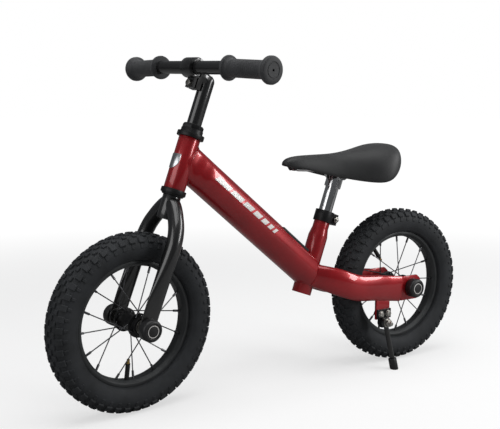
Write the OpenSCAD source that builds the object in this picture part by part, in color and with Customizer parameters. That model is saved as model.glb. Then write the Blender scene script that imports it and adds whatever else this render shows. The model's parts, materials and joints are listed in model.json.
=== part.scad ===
// Child's balance bike with air tyres, adjustable saddle and stem, and a side stand.
// X points forward, Y to the rider's left, Z up. The origin is on the ground,
// on the centre plane, midway between the axles. All sizes are in millimetres.

/* [Overall] */
// Distance between the two axles
wheelbase = 585; // [500:5:710]
// Lean of the steering axis back from upright, in degrees
head_lean = 20; // [16:0.5:23]
// Offset of the front axle ahead of the steering axis
fork_rake = 3; // [0:1:8]
// Turn of the steering to the left at rest, in degrees
steer_turn = 6; // [-8:1:8]
// Lean of the seat post back from upright, in degrees
seat_lean = 20; // [16:0.5:23]

/* [Tyres and rims] */
// Outside diameter of the tyre over its tread
tyre_d = 305; // [250:1:370]
// Width of the tyre
tyre_w = 52; // [43:1:62]
// Half width of the flat crown of the tread
tread_flat = 9; // [6:1:12]
// Thickness of the tread
tread_t = 5; // [4:0.5:7]
// Thickness of the side wall
side_t = 3; // [2:0.5:4]
// Thickness of the inner tube's rubber
tube_t = 1.5; // [1:0.5:2]
// Diameter of the hole inside the rim
rim_hole_d = 194; // [170:1:205]
// Width of the rim over its edges
rim_w = 26.4; // [24:0.4:30]
// Depth of the rim from its hole to its edge
rim_depth = 9.5; // [8.5:0.5:11]
// Thickness of the rim's sheet steel
rim_t = 1.6; // [1.2:0.1:2]
// Diameter of the valve stem
valve_d = 8; // [7:0.5:9]
// Reach of the valve inside the rim
valve_reach = 27; // [20:1:32]
// Place of the front valve round the wheel, in degrees from forward
front_valve_turn = -104; // [-180:1:180]
// Place of the rear valve round the wheel, in degrees from forward
rear_valve_turn = 53; // [-180:1:180]

/* [Spokes and hubs] */
// Number of spokes in a wheel
spoke_count = 16; // [16:8:24]
// Diameter of a spoke
spoke_d = 2; // [1.8:0.1:2.4]
// Diameter of a nipple
nipple_d = 4; // [3.6:0.1:4.4]
// Length of a nipple
nipple_l = 12; // [10:1:14]
// Diameter of a hub flange
flange_d = 41; // [38:1:50]
// Thickness of a hub flange
flange_t = 2.4; // [2:0.2:3]
// Distance of a hub flange from the middle of the wheel
flange_y = 22; // [19:1:24]
// Diameter of the circle of spoke holes
spoke_circle_d = 34; // [32:1:42]
// Diameter of the hub barrel between the flanges
barrel_d = 25; // [22:1:28]
// Width between the fork ends, and between the dropouts
axle_gap = 90; // [86:1:110]
// Diameter of the axle
axle_d = 9.5; // [8:0.5:10]
// Diameter of a hub bearing ball
hub_ball_d = 4.76; // [4:0.02:5]
// Number of balls on each side of a hub
hub_balls = 9; // [7:1:10]
// Width of an axle nut across its flats
nut_af = 15; // [14:1:17]
// Thickness of an outer axle nut
nut_h = 8; // [6:1:9]
// Thickness of an inner lock nut
jam_h = 5.5; // [4:0.5:6]
// Diameter of a nut cap
cap_d = 37; // [30:1:40]
// Distance that a nut cap reaches out past the axle gap
cap_l = 22.5; // [20:0.5:33]

/* [Fork] */
// Diameter of the steerer
steerer_d = 28.6; // [28:0.2:30]
// Diameter of the neck under the steerer
neck_d = 31; // [30:0.5:34]
// Gap between the tyre and the underside of the neck
crown_gap = 28; // [22:1:40]
// Height of the neck
neck_h = 41; // [36:1:50]
// Diameter of a fork leg where it is round
leg_d = 26; // [22:1:28]
// Distance of a fork leg from the centre plane beside the tyre
leg_y = 47.5; // [46:0.5:52]
// Width of the flattened end of a fork leg
leg_end_w = 31; // [28:1:34]
// Thickness of the flattened end of a fork leg
leg_end_t = 5; // [4:0.5:7]
// Wall of a fork leg
leg_wall = 2; // [1.5:0.5:2.5]

/* [Head] */
// Length of the head tube
head_l = 91; // [76:1:120]
// Diameter of the head tube
head_d = 37; // [37:0.5:44]
// Wall of the head tube
head_wall = 1.5; // [1.5:0.1:2]
// Diameter of a headset ball
head_ball_d = 4; // [3.8:0.1:4.2]
// Number of balls in each headset bearing
head_balls = 18; // [14:1:20]
// Diameter of the upper cup's lip
upper_cup_d = 47; // [45:1:50]
// Diameter of the lower cup's lip
lower_cup_d = 43.5; // [43:0.5:48]
// Height of each cup outside the head tube
cup_h = 8; // [7:0.5:9]
// Diameter of the threaded top race and its lock nut
top_race_d = 38; // [36:1:40]
// Height of the lock nut
locknut_h = 8; // [6:1:10]
// Width and height of the badge on the head tube
badge = [26, 26];

/* [Stem and bar] */
// Diameter of the quill
quill_d = 25.4; // [25:0.1:26]
// Height of the bar above the lock nut, along the steering axis
bar_rise = 89; // [80:1:120]
// Reach of the bar ahead of the steering axis
bar_reach = 36; // [33:1:42]
// Length of quill inside the steerer
quill_depth = 70; // [60:1:85]
// Outside diameter of the bar clamp
clamp_d = 34; // [32:1:38]
// Width of the bar clamp
clamp_w = 28; // [24:1:34]
// Diameter of the handlebar
bar_d = 22.2; // [20:0.2:23]
// Wall of the handlebar
bar_wall = 1.8; // [1.2:0.2:2.2]
// Width of the handlebar over the grips
bar_w = 397; // [340:1:480]
// Length of the straight middle of the bar
bar_straight = 176; // [150:2:200]
// Sweep of the bar ends back, in degrees
bar_sweep = 5; // [0:0.5:10]
// Length of a grip
grip_l = 103; // [90:1:110]
// Diameter of a grip's sleeve
grip_d = 29.5; // [28:0.5:33]
// Diameter of a grip's inner flange
grip_inner_d = 41; // [36:1:46]
// Diameter of a grip's end flange
grip_end_d = 44; // [38:1:50]

/* [Frame] */
// Diameter of the main tube
main_d = 60; // [50:1:64]
// Wall of the main tube
main_wall = 2; // [1.5:0.5:2.5]
// Height above the lower end of the head tube where the main tube's axis meets it
main_up = 54; // [48:1:60]
// Height of the main tube's axis above the foot of the seat tube
main_low = 42; // [36:1:48]
// Gap between the rear tyre and the foot of the seat tube's axis
seat_gap = 83; // [74:1:110]
// Height of the foot of the seat tube's axis above the axles
seat_up = 7.5; // [0:0.5:20]
// Length of the seat tube
seat_tube_l = 160; // [140:1:195]
// Diameter of the lower part of the seat tube
seat_tube_d = 36.5; // [34:0.5:40]
// Diameter of the upper part of the seat tube
seat_top_d = 30.4; // [29:0.2:32]
// Height of a stay's section
stay_h = 50; // [42:1:54]
// Thickness of a stay's section
stay_t = 24; // [20:1:26]
// Wall of a stay
stay_wall = 1.8; // [1.5:0.1:2]
// Distance of a stay from the centre plane beside the wheel
stay_y = 45.5; // [44:0.5:50]
// Distance ahead of the axle where a stay meets its dropout
stay_end = 28; // [24:1:34]
// Thickness of a dropout
dropout_t = 4.5; // [4:0.5:6]
// Length of a dropout behind the axle
dropout_back = 23; // [20:1:28]
// Depth of the flat under the footrest pad
pad_sink = 7; // [5:0.5:9]
// Length of the footrest pad along the main tube
pad_l = 74; // [50:1:90]
// Thickness of the footrest pad
pad_t = 5; // [4:0.5:7]

/* [Seat] */
// Diameter of the seat post
post_d = 25.4; // [25:0.1:26]
// Wall of the seat post
post_wall = 2; // [1.5:0.5:2.5]
// Height of the saddle clamp's middle above the foot of the seat tube
clamp_up = 237; // [210:1:240]
// Length of seat post inside the seat tube
post_depth = 75; // [60:1:80]
// Height of the collar that clamps the post
collar_h = 21; // [18:1:24]
// Diameter of the collar
collar_d = 36; // [35:0.5:40]
// Reach of the collar's ears behind the post's axis
ear_reach = 27.5; // [26:0.5:32]
// Length of the saddle
saddle_l = 256; // [220:1:300]
// Width of the saddle
saddle_w = 132; // [110:1:160]
// Diameter of a saddle rail
rail_d = 7; // [6:0.5:8]
// Distance of a saddle rail from the centre plane at the clamp
rail_y = 18; // [17:0.5:21]

/* [Side stand] */
// Distance of the stand's pivot ahead of the rear axle
stand_x = 75; // [72:1:84]
// Distance of the stand's pivot below the rear axle
stand_drop = 59; // [56:1:62]
// Distance of the stand's foot from the centre plane
foot_y = 67; // [62:1:90]
// Distance of the stand's foot behind its pivot
foot_back = 17; // [10:1:30]
// Diameter of the stand's leg
stand_d = 9.5; // [8:0.5:11]
// Diameter of the stand's foot
foot_d = 16; // [14:1:20]
// Distance between the stand's two bolts
stand_bolt_gap = 18; // [18:1:20]
// Diameter of the stand's bolts
stand_bolt_d = 6; // [5:0.5:6]

/* [Fits] */
// Clearance round a part that turns or slides
run_fit = 0.05; // [0.02:0.01:0.09]
// Clearance round a part that is threaded, bonded or clamped
tight_fit = 0.02; // [0.01:0.01:0.05]
// Gap between pieces that pass each other
pass_gap = 0.3; // [0.2:0.1:0.6]

/* [Hidden] */
$fn = 64;
// Frame colour, black parts and bright parts
red = [0.55, 0.03, 0.06];
black = [0.06, 0.06, 0.065];
rubber = [0.1, 0.1, 0.11];
bright = [0.8, 0.8, 0.82];
zinc = [0.72, 0.7, 0.66];
bend_bead = 0.4;
over = 1;                                   // how far a cutting shape runs past what it cuts
wheel_r = tyre_d / 2;
// Rim and tyre seat
rim_hole_r = rim_hole_d / 2;
rim_edge_r = rim_hole_r + rim_depth;
bead_seat_r = rim_hole_r + rim_depth / 2;
bead_y = rim_w / 2 - rim_t - tight_fit;
bead_w = 2.6;
wide_r = rim_edge_r + 0.5 * (wheel_r - rim_edge_r);
tube_mid_r = rim_edge_r + 0.47 * (wheel_r - tread_t - rim_edge_r);
tube_r = min(tube_mid_r - rim_edge_r, wheel_r - tread_t - tube_mid_r, tyre_w / 2 - side_t) - over;
valve_tip_r = rim_hole_r - valve_reach;
// Hub bearings
ball_track_r = axle_d / 2 + 3 + hub_ball_d / 2;
hub_cup_r = ball_track_r + hub_ball_d / 2 + run_fit;
hub_end_y = axle_gap / 2 - jam_h - 6;
hub_ball_y = hub_end_y - 4.5;
hub_shell_r = hub_cup_r + 2.4;
cone_hat_y = hub_ball_y + hub_ball_d / 2 + run_fit;
spoke_side = flange_t / 2 + spoke_d / 2 + 0.1;
// Steering, counted along the axis from the point nearest the front axle
crown_s = wheel_r + crown_gap;
lower_cup_s = crown_s + neck_h + 3;
head_s = lower_cup_s + cup_h;
head_top_s = head_s + head_l;
head_ball_r = steerer_d / 2 + 1.7 + head_ball_d / 2;
cup_bore_r = head_ball_r + head_ball_d / 2 + run_fit;
ball_rise = 2.5 + run_fit + head_ball_d / 2;
race_under = ball_rise + head_ball_d / 2 + run_fit;
top_race_h = 6.7;
top_race_s = head_top_s + cup_h + pass_gap;
locknut_s = top_race_s + top_race_h + tight_fit;
steerer_top_s = locknut_s + locknut_h - over;
bar_s = locknut_s + locknut_h + bar_rise;
quill_bottom_s = steerer_top_s - quill_depth;
elbow_s = bar_s - 12.4;
clamp_slit_x = bar_reach - bar_d / 2 + 0.3;
clamp_slit_w = 2.5;
clamp_ear_s = bar_s - clamp_d / 2 - 16;
clamp_bolt_s = clamp_ear_s + 7.5;
clamp_bolt_d = 6;
// Fork legs: points as [offset ahead of the axis, distance from the centre, height]
leg_mid_y = (axle_gap + leg_end_t) / 2;
cap_reach = axle_gap / 2 + cap_l;
leg_round = leg_d / 2;
// Frame
head_foot = [wheelbase / 2 - fork_rake * cos(head_lean), wheel_r - fork_rake * sin(head_lean)];
seat_foot = [wheel_r + seat_gap - wheelbase / 2, wheel_r + seat_up];
main_head = head_foot + (head_s + main_up) * [-sin(head_lean), cos(head_lean)];
main_seat = seat_foot + main_low * [-sin(seat_lean), cos(seat_lean)];
main_l = norm(main_head - main_seat);
main_rise = atan2(main_head[1] - main_seat[1], main_head[0] - main_seat[0]);
swell_end = seat_tube_l - 48;
swell_start = seat_tube_l - 32;
slot_w = 2.5;
// Seat post and saddle, counted from the foot of the seat tube
post_bottom = seat_tube_l - post_depth;
post_top = clamp_up - 11;
clamp_mid = seat_foot + clamp_up * [-sin(seat_lean), cos(seat_lean)];
rail_up = 7.3;
clamp_body_h = 28;
washer_t = 3.5;
washer_d = 25;
lip_t = 3.5;
pad_t_top = 16;
clamp_nut_h = 4;
clamp_pin_d = 6;
pan_t = 3;
clamp_body_d = post_d + 6;
// Side stand
stand_at = [stand_x - wheelbase / 2, wheel_r - stand_drop];
tab_y = stay_y - 2.5;
tab_t = 5;
bracket_t = 4;
tab_bolt_z = stand_at[1] + 15.5;
hub_face_y = tab_y + tab_t + bracket_t + pass_gap;
hub_h = 10;
hub_d = 20;
pin_head_d = 13;
stand_leg_y = hub_face_y + hub_h / 2;
pivot_d = 8;
loft_sides = 20;

// ---- Places ----

module at_rear_axle() translate([-wheelbase / 2, 0, wheel_r]) children();

module at_steering() translate([head_foot[0], 0, head_foot[1]]) rotate([0, -head_lean, 0]) children();

module steered() at_steering() rotate([0, 0, steer_turn]) children();

module at_front_axle() steered() translate([fork_rake, 0, 0]) children();

module at_seat_tube() translate([seat_foot[0], 0, seat_foot[1]]) rotate([0, -seat_lean, 0]) children();

// Along the main tube's axis, from the seat tube towards the head
module along_main_tube() translate([main_seat[0], 0, main_seat[1]]) rotate([0, 90 - main_rise, 0]) children();

module at_clamp() translate([clamp_mid[0], 0, clamp_mid[1]]) children();

module across() rotate([-90, 0, 0]) children();

module both_sides() {
    children();
    mirror([0, 1, 0]) children();
}

// ---- Shapes ----

// A round bar between two points
module rod(from, to, d) {
    run = to - from;
    translate(from) rotate([0, acos(run[2] / norm(run)), atan2(run[1], run[0])])
        cylinder(h = norm(run), d = d);
}

// A round bar along a path of points, with a slightly fuller ball at each bend
module bent_rod(path, d) {
    for (i = [0 : len(path) - 2]) rod(path[i], path[i + 1], d);
    for (i = [1 : len(path) - 2]) translate(path[i]) sphere(d = d + bend_bead);
}

module tube(h, d, bore) difference() {
    cylinder(h = h, d = d);
    translate([0, 0, -over]) cylinder(h = h + 2 * over, d = bore);
}

module hex_nut(af, h, bore) difference() {
    cylinder(h = h, d = af / cos(30), $fn = 6);
    translate([0, 0, -over]) cylinder(h = h + 2 * over, d = bore);
}

// Smooth value through a list of stations, u from 0 to 1
function smooth4(a, b, c, d, t) = 0.5 * (2 * b + (c - a) * t + (2 * a - 5 * b + 4 * c - d) * t * t
    + (3 * b - a - 3 * c + d) * t * t * t);
function station(list, u) = let (n = len(list) - 1, i = min(floor(u * n), n - 1))
    smooth4(list[max(i - 1, 0)], list[i], list[i + 1], list[min(i + 2, n)], u * n - i);
function unit(v) = v / norm(v);
function squared(v, power) = sign(v) * pow(abs(v), power);
function take3(v) = [v[0], v[1], v[2]];

// Closed ring of points round a centre, a across and b along the other way
function ring(centre, side, up, a, b, power) = [for (i = [0 : loft_sides - 1])
    let (t = 360 * i / loft_sides) centre + side * a * squared(cos(t), power)
        + up * b * squared(sin(t), power)];

// Rings square to a path of stations [x, y, z, half width, half thickness];
// the width lies nearest to the given direction, and the wall is taken off both halves
function swept_rings(list, steps, wide, power, wall) = [for (k = [0 : steps])
    let (u = k / steps, here = station(list, u),
        ahead = unit(take3(station(list, min(u + 0.01, 1))) - take3(station(list, max(u - 0.01, 0)))),
        thin = unit(cross(wide, ahead)), broad = cross(ahead, thin))
    ring(take3(here), broad, thin, here[3] - wall, here[4] - wall, power)];

// Rings of one radius at the points of a path, each across its bend
function path_rings(path, r) = [for (i = [0 : len(path) - 1])
    let (last = len(path) - 1, back = unit(path[max(i, 1)] - path[max(i, 1) - 1]),
        front = unit(path[min(i, last - 1) + 1] - path[min(i, last - 1)]), way = unit(back + front),
        thin = unit(cross([0, 1, 0], way))) ring(path[i], cross(way, thin), thin, r, r, 1)];

// Solid skin over a list of rings
module skin(rings) {
    n = len(rings[0]);
    m = len(rings);
    polyhedron(points = [for (r = rings) each r], faces = concat(
        [[for (i = [n - 1 : -1 : 0]) i]],
        [for (j = [0 : m - 2]) for (i = [0 : n - 1]) [j * n + i, (j + 1) * n + (i + 1) % n, (j + 1) * n + i]],
        [for (j = [0 : m - 2]) for (i = [0 : n - 1]) [j * n + i, j * n + (i + 1) % n, (j + 1) * n + (i + 1) % n]],
        [[for (i = [0 : n - 1]) (m - 1) * n + i]]));
}

// ---- Frame ----

module head_tube() color(red) at_steering() translate([0, 0, head_s])
    tube(head_l, head_d, head_d - 2 * head_wall);

// A plain shield that follows the head tube's front
module head_badge() color(bright) at_steering() translate([0, 0, head_s + head_l / 2]) intersection() {
    translate([0, 0, -badge[1] / 2]) tube(badge[1], head_d + 2, head_d + tight_fit);
    rotate([0, 90, 0]) linear_extrude(head_d) union() {
        circle(d = badge[0]);
        translate([-badge[1] / 2, -badge[0] / 2]) square([badge[1] / 2, badge[0]]);
    }
}

// Half width of the main tube by distance from the seat tube: full, then drawn in to the head tube
main_draw = [[0, 0, 0, main_d / 2, main_d / 2], [0, 0, main_l * 0.5, main_d / 2, main_d / 2],
    [0, 0, main_l - 75, main_d / 2, main_d / 2], [0, 0, main_l - 50, main_d / 2, main_d / 2 - 1],
    [0, 0, main_l - 32, main_d / 2 + 0.5, main_d / 2 - 5],
    [0, 0, main_l - 16, main_d / 2 + 1, head_d / 2 + 1.5], [0, 0, main_l + 14, main_d / 2 + 1, head_d / 2 - 1]];

function main_rings(wall) = swept_rings(
    concat([[0, 0, -main_d, main_d / 2, main_d / 2]], main_draw), 16, [-1, 0, 0], 1, wall);

pad_end = main_l * 0.045 + pad_l + main_d / 2 - 8;

// Everything behind the plane through the seat tube's axis
module behind_seat_tube() at_seat_tube() translate([-2 * main_d, -main_d, -main_d])
    cube([2 * main_d, 2 * main_d, main_d * 4]);

module main_tube() color(red) difference() {
    along_main_tube() difference() {
        skin(main_rings(0));
        difference() {
            skin(main_rings(main_wall));
            translate([-main_d / 2 - over, -main_d, -2 * main_d])
                cube([pad_sink + main_wall + over, 2 * main_d, 2 * main_d + pad_end + main_wall]);
            translate([-main_d, -main_d, -2 * main_d]) cube([2 * main_d, 2 * main_d, 2 * main_d + 14]);
        }
        translate([-main_d / 2 - over, -main_d, -2 * main_d])
            cube([pad_sink + over, 2 * main_d, 2 * main_d + pad_end]);
    }
    at_steering() cylinder(h = head_s + 2 * head_l, d = head_d + tight_fit);
    at_steering() translate([0, -main_d, 0]) cube([main_d, 2 * main_d, head_s + 2 * head_l]);
    behind_seat_tube();
    at_seat_tube() translate([0, 0, -main_d]) cylinder(h = seat_tube_l + main_d, d = seat_tube_d + tight_fit);
}

// Ribbed pad on the flat at the back of the main tube
module footrest_pad() color(rubber) difference() {
    along_main_tube() difference() {
        translate([pad_sink - main_d / 2 - pad_t, -pad_half, pad_end - pad_l - 2])
            cube([pad_t - tight_fit, 2 * pad_half, pad_l]);
        for (side = [-1, 0, 1]) translate([pad_sink - main_d / 2 - pad_t - over, side * pad_half * 0.55 - 1.2, 0])
            cube([2 + over, 2.4, main_l]);
    }
    at_seat_tube() cylinder(h = seat_tube_l, d = seat_tube_d + pass_gap);
}
pad_half = sqrt(pow(main_d / 2, 2) - pow(main_d / 2 - pad_sink, 2)) - 1.5;

module seat_tube() color(red) at_seat_tube() difference() {
    rotate_extrude() polygon([[0, 0], [seat_tube_d / 2, 0], [seat_tube_d / 2, swell_end],
        [seat_top_d / 2, swell_start], [seat_top_d / 2, seat_tube_l], [0, seat_tube_l]]);
    translate([0, 0, -over]) cylinder(h = seat_tube_l + 2 * over, d = post_d + 2 * run_fit);
    translate([0, 0, -over]) cylinder(h = swell_end - 2 + over, d = seat_tube_d - 4);
    translate([-seat_tube_d, -slot_w / 2, seat_tube_l - 27]) cube([seat_tube_d, slot_w, 27 + over]);
}

// Stations of the left stay from the seat tube back to the dropout
stay_in_y = seat_tube_d / 2 + 1;
stay_path = [
    [seat_foot[0] + 2, stay_in_y - 6, wheel_r + 49, stay_h * 0.4, stay_t / 2 - 1],
    [seat_foot[0] - 17, stay_in_y - 0.5, wheel_r + 42.5, stay_h * 0.43, stay_t / 2],
    [seat_foot[0] - 36, stay_y - 15, wheel_r + 36, stay_h * 0.47, stay_t / 2],
    [seat_foot[0] - 56, stay_y - 6.5, wheel_r + 29, stay_h * 0.5, stay_t / 2],
    [seat_foot[0] - 78, stay_y - 1, wheel_r + 20.5, stay_h * 0.5, stay_t / 2],
    [seat_foot[0] - 104, stay_y + 0.5, wheel_r + 13, stay_h * 0.5, stay_t / 2],
    [stay_end + 62 - wheelbase / 2, stay_y, wheel_r + 8.5, stay_h * 0.5, stay_t / 2 - 0.5],
    [stay_end + 30 - wheelbase / 2, (stay_y + axle_gap / 2) / 2, wheel_r + 4, stay_h * 0.5, stay_t / 2 - 3],
    [stay_end - wheelbase / 2, (axle_gap + dropout_t) / 2, wheel_r, stay_h * 0.5, stay_t / 2 - 6]];

module stay_skin(wall) skin(swept_rings(stay_path, 20, [0, 0, 1], 0.8, wall));

module left_stay() color(red) difference() {
    stay_skin(0);
    difference() {
        stay_skin(stay_wall);
        translate([-wheelbase / 2, 0, 0]) cube([stay_end + 4, axle_gap, 2 * tyre_d]);
    }
    at_seat_tube() translate([0, -main_d, -main_d]) cube([main_d, 2 * main_d, 4 * main_d]);
    at_seat_tube() translate([0, 0, -main_d]) cylinder(h = seat_tube_l + main_d, d = seat_tube_d + tight_fit);
    translate([-wheelbase / 2 - over, 0, 0]) cube([stay_end + over, axle_gap, tyre_d]);
    rear_tyre_room();
}

module rear_tyre_room() at_rear_axle() across() cylinder(h = tyre_w + 6, d = tyre_d + 12, center = true);

module right_stay() mirror([0, 1, 0]) left_stay();

// Two plates with slots open to the back for the rear axle
module dropouts() color(red) at_rear_axle() both_sides() translate([0, axle_gap / 2, 0]) across()
    linear_extrude(dropout_t) difference() {
        union() {
            translate([stay_end - 10, 0]) square([20 - 2 * tight_fit, stay_h - 2], center = true);
            intersection() {
                translate([-dropout_back, -stay_h / 2 + 1]) square([dropout_back + stay_end - 10, stay_h - 2]);
                circle(r = stay_h / 2 + 2.5);
            }
        }
        circle(d = axle_d + 2 * tight_fit);
        translate([-2 * dropout_back, -axle_d / 2 - tight_fit]) square([2 * dropout_back, axle_d + 2 * tight_fit]);
    }

module seat_clamp() color(black) at_seat_tube() difference() {
    translate([0, 0, seat_tube_l + 1.5 - collar_h]) union() {
        cylinder(h = collar_h, d = collar_d);
        translate([-ear_reach, -9, 0]) cube([ear_reach - seat_top_d / 2 + 2, 18, collar_h]);
    }
    translate([0, 0, seat_tube_l / 2]) cylinder(h = seat_tube_l, d = seat_top_d + 2 * tight_fit);
    translate([-ear_reach - over, -slot_w / 2, seat_tube_l / 2])
        cube([ear_reach, slot_w, seat_tube_l]);
    translate([-ear_reach + 6, 0, collar_bolt_s]) across() cylinder(h = 4 * ear_reach, d = 6 + 2 * tight_fit, center = true);
}
collar_bolt_s = seat_tube_l + 1.5 - collar_h / 2;

module seat_clamp_bolt() color(zinc) at_seat_tube() translate([-ear_reach + 6, 0, collar_bolt_s]) across() {
    difference() {
        translate([0, 0, -14]) cylinder(h = 5 - tight_fit, d = 10);
        translate([0, 0, -14 - over]) cylinder(h = 3 + over, d = 5.8, $fn = 6);
    }
    translate([0, 0, -9.5]) cylinder(h = 26, d = 6);
    translate([0, 0, 9 + tight_fit]) hex_nut(10, 5, 6 + 2 * tight_fit);
}

// ---- Headset ----

// Pressed cup with its lip and ball recess, lip upwards
module cup(lip_d) difference() {
    union() {
        cylinder(h = cup_h, d = lip_d);
        translate([0, 0, -10]) cylinder(h = 10 + over, d = head_d - 2 * head_wall - 2 * tight_fit);
    }
    translate([0, 0, 2.5]) cylinder(h = cup_h, r = cup_bore_r);
    translate([0, 0, -10 - over]) cylinder(h = 20 + cup_h, d = steerer_d + 2);
}

module upper_cup() color(black) at_steering() translate([0, 0, head_top_s]) cup(upper_cup_d);

module lower_cup() color(black) at_steering() translate([0, 0, head_s]) mirror([0, 0, 1]) cup(lower_cup_d);

module ball_ring(count, radius, d) for (i = [0 : count - 1])
    rotate([0, 0, 360 * i / count]) translate([radius, 0, 0]) sphere(d = d);

module headset_balls() color(bright) at_steering() {
    translate([0, 0, head_top_s + ball_rise]) ball_ring(head_balls, head_ball_r, head_ball_d);
    translate([0, 0, head_s - ball_rise]) ball_ring(head_balls, head_ball_r, head_ball_d);
}

// Race that closes a cup over its balls
module race(d, h) difference() {
    union() {
        translate([0, 0, race_under]) cylinder(h = cup_h + pass_gap + over - race_under, r = cup_bore_r - pass_gap);
        translate([0, 0, cup_h + pass_gap]) cylinder(h = h, d = d);
    }
    cylinder(h = 3 * cup_h, d = steerer_d + 2 * tight_fit);
}

module top_race() color(black) steered() translate([0, 0, head_top_s]) race(top_race_d, top_race_h);

module crown_race() color(black) steered() translate([0, 0, head_s]) mirror([0, 0, 1])
    race(neck_d + 6, 3 - pass_gap - tight_fit);

module locknut() color(black) steered() translate([0, 0, locknut_s]) difference() {
    intersection() {
        cylinder(h = locknut_h, d = top_race_d - 1, $fn = 8);
        cylinder(h = locknut_h + 12, d1 = top_race_d + 9, d2 = top_race_d - 26);
    }
    translate([0, 0, -over]) cylinder(h = locknut_h + 2 * over, d = steerer_d + 2 * tight_fit);
}

// ---- Fork ----

module steerer() color(black) steered() difference() {
    union() {
        translate([0, 0, crown_s]) cylinder(h = neck_h, d = neck_d);
        translate([0, 0, crown_s]) cylinder(h = steerer_top_s - crown_s, d = steerer_d);
    }
    translate([0, 0, crown_s - over]) cylinder(h = steerer_top_s, d = quill_d + 2 * run_fit);
}

// Stations of the left leg from the neck down to its flattened end
leg_path = [
    [0, 0, crown_s + 31, leg_round, leg_round], [0, 12, crown_s + 24.5, leg_round, leg_round],
    [0, 22, crown_s + 14.5, leg_round, leg_round], [0, leg_y - 16.5, crown_s + 2.5, leg_round, leg_round],
    [0, leg_y - 7.5, crown_s - 12.5, leg_round, leg_round], [0, leg_y - 2, crown_s - 30.5, leg_round, leg_round],
    [fork_rake * 0.2, leg_y, crown_s - 50, leg_round, leg_round],
    [fork_rake * 0.5, leg_y, wheel_r * 0.66, leg_round + 0.4, leg_round - 1.5],
    [fork_rake * 0.7, leg_y, wheel_r * 0.47, leg_round + 1.5, leg_round - 5],
    [fork_rake * 0.9, leg_mid_y, wheel_r * 0.3, leg_end_w / 2, leg_end_t / 2 + 1.5],
    [fork_rake, leg_mid_y, wheel_r * 0.16, leg_end_w / 2, leg_end_t / 2],
    [fork_rake, leg_mid_y, 0, leg_end_w / 2, leg_end_t / 2]];

module leg_skin(wall) skin(swept_rings(leg_path, 22, [1, 0, 0], 0.9, wall));

module fork_leg() difference() {
    union() {
        difference() {
            leg_skin(0);
            difference() {
                leg_skin(leg_wall);
                cylinder(h = wheel_r * 0.35, r = 2 * leg_y);
            }
            translate([-leg_end_w, 0, -over]) cube([2 * leg_end_w, 2 * leg_y, wheel_r * 0.14 + over]);
        }
        translate([fork_rake, axle_gap / 2, 0]) across() cylinder(h = leg_end_t, d = leg_end_w);
        translate([fork_rake - leg_end_w / 2, axle_gap / 2, 0]) cube([leg_end_w, leg_end_t, wheel_r * 0.16]);
    }
    translate([0, 0, crown_s - 2 * leg_d]) cylinder(h = 4 * leg_d, d = neck_d + tight_fit);
    translate([-leg_d, -leg_d, crown_s - leg_d]) cube([2 * leg_d, leg_d, 4 * leg_d]);
    translate([fork_rake, 0, 0]) across() cylinder(h = 2 * axle_gap, d = axle_d + 2 * tight_fit);
    translate([fork_rake - axle_d / 2 - tight_fit, 0, -leg_end_w]) cube([axle_d + 2 * tight_fit, axle_gap, leg_end_w]);
}

module left_fork_leg() color(black) steered() fork_leg();

module right_fork_leg() color(black) steered() mirror([0, 1, 0]) fork_leg();

// ---- Stem and handlebar ----

module stem() color(black) steered() difference() {
    union() {
        translate([0, 0, quill_bottom_s]) cylinder(h = elbow_s - quill_bottom_s, d = quill_d);
        translate([0, 0, elbow_s]) sphere(d = quill_d);
        rod([0, 0, elbow_s], [bar_reach, 0, bar_s], quill_d - 2);
        translate([bar_reach, 0, bar_s]) across() cylinder(h = clamp_w, d = clamp_d, center = true);
        translate([clamp_slit_x - 9, -10, clamp_ear_s]) cube([17, 20, 22]);
    }
    translate([bar_reach, 0, bar_s]) across() cylinder(h = 2 * clamp_w, d = bar_d + 2 * run_fit, center = true);
    translate([clamp_slit_x, -clamp_w, clamp_ear_s - over])
        cube([clamp_slit_w, 2 * clamp_w, bar_s - clamp_ear_s + over]);
    translate([0, 0, clamp_bolt_s]) rotate([0, 90, 0]) cylinder(h = 2 * bar_reach, d = clamp_bolt_d + 2 * tight_fit);
    translate([0, 0, quill_bottom_s - over]) cylinder(h = elbow_s - quill_bottom_s - 6, d = quill_d - 7);
    cylinder(h = 2 * bar_s, d = 8 + 2 * tight_fit);
    translate([0, 0, elbow_s + quill_d / 2 - 9]) cylinder(h = quill_d, d = 13.4);
    stem_wedge_cut() cylinder(h = quill_d, d = 2 * quill_d);
}

// The slanted joint between the quill and its wedge
module stem_wedge_cut() translate([0, 0, quill_bottom_s + 12]) rotate([0, 32, 0]) mirror([0, 0, 1]) children();

module stem_wedge() color(zinc) steered() difference() {
    intersection() {
        translate([0, 0, quill_bottom_s - 14]) cylinder(h = 40, d = quill_d);
        stem_wedge_cut() translate([0, 0, pass_gap]) cylinder(h = 2 * quill_d, d = 3 * quill_d);
    }
    cylinder(h = 2 * bar_s, d = 8 + 2 * tight_fit);
}

module stem_bolt() color(zinc) steered() {
    translate([0, 0, quill_bottom_s - 18]) cylinder(h = elbow_s - quill_bottom_s + 22, d = 8);
    difference() {
        translate([0, 0, elbow_s + quill_d / 2 - 9 + tight_fit]) cylinder(h = 8, d = 13);
        translate([0, 0, elbow_s + quill_d / 2 - 4]) cylinder(h = 8, d = 6 / cos(30), $fn = 6);
    }
}

module bar_clamp_bolt() color(bright) steered() translate([0, 0, clamp_bolt_s]) rotate([0, 90, 0]) {
    translate([0, 0, clamp_slit_x - 7]) cylinder(h = 16, d = clamp_bolt_d);
    difference() {
        translate([0, 0, clamp_slit_x + 8 + tight_fit]) cylinder(h = 5, d = 10.5);
        translate([0, 0, clamp_slit_x + 10]) cylinder(h = 5, d = 5 / cos(30), $fn = 6);
    }
}

module at_bar() steered() translate([bar_reach, 0, bar_s]) children();

// From the left bend outwards along the bar
module at_bar_end() translate([0, bar_straight / 2, 0]) rotate([0, 0, bar_sweep]) across() children();

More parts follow.
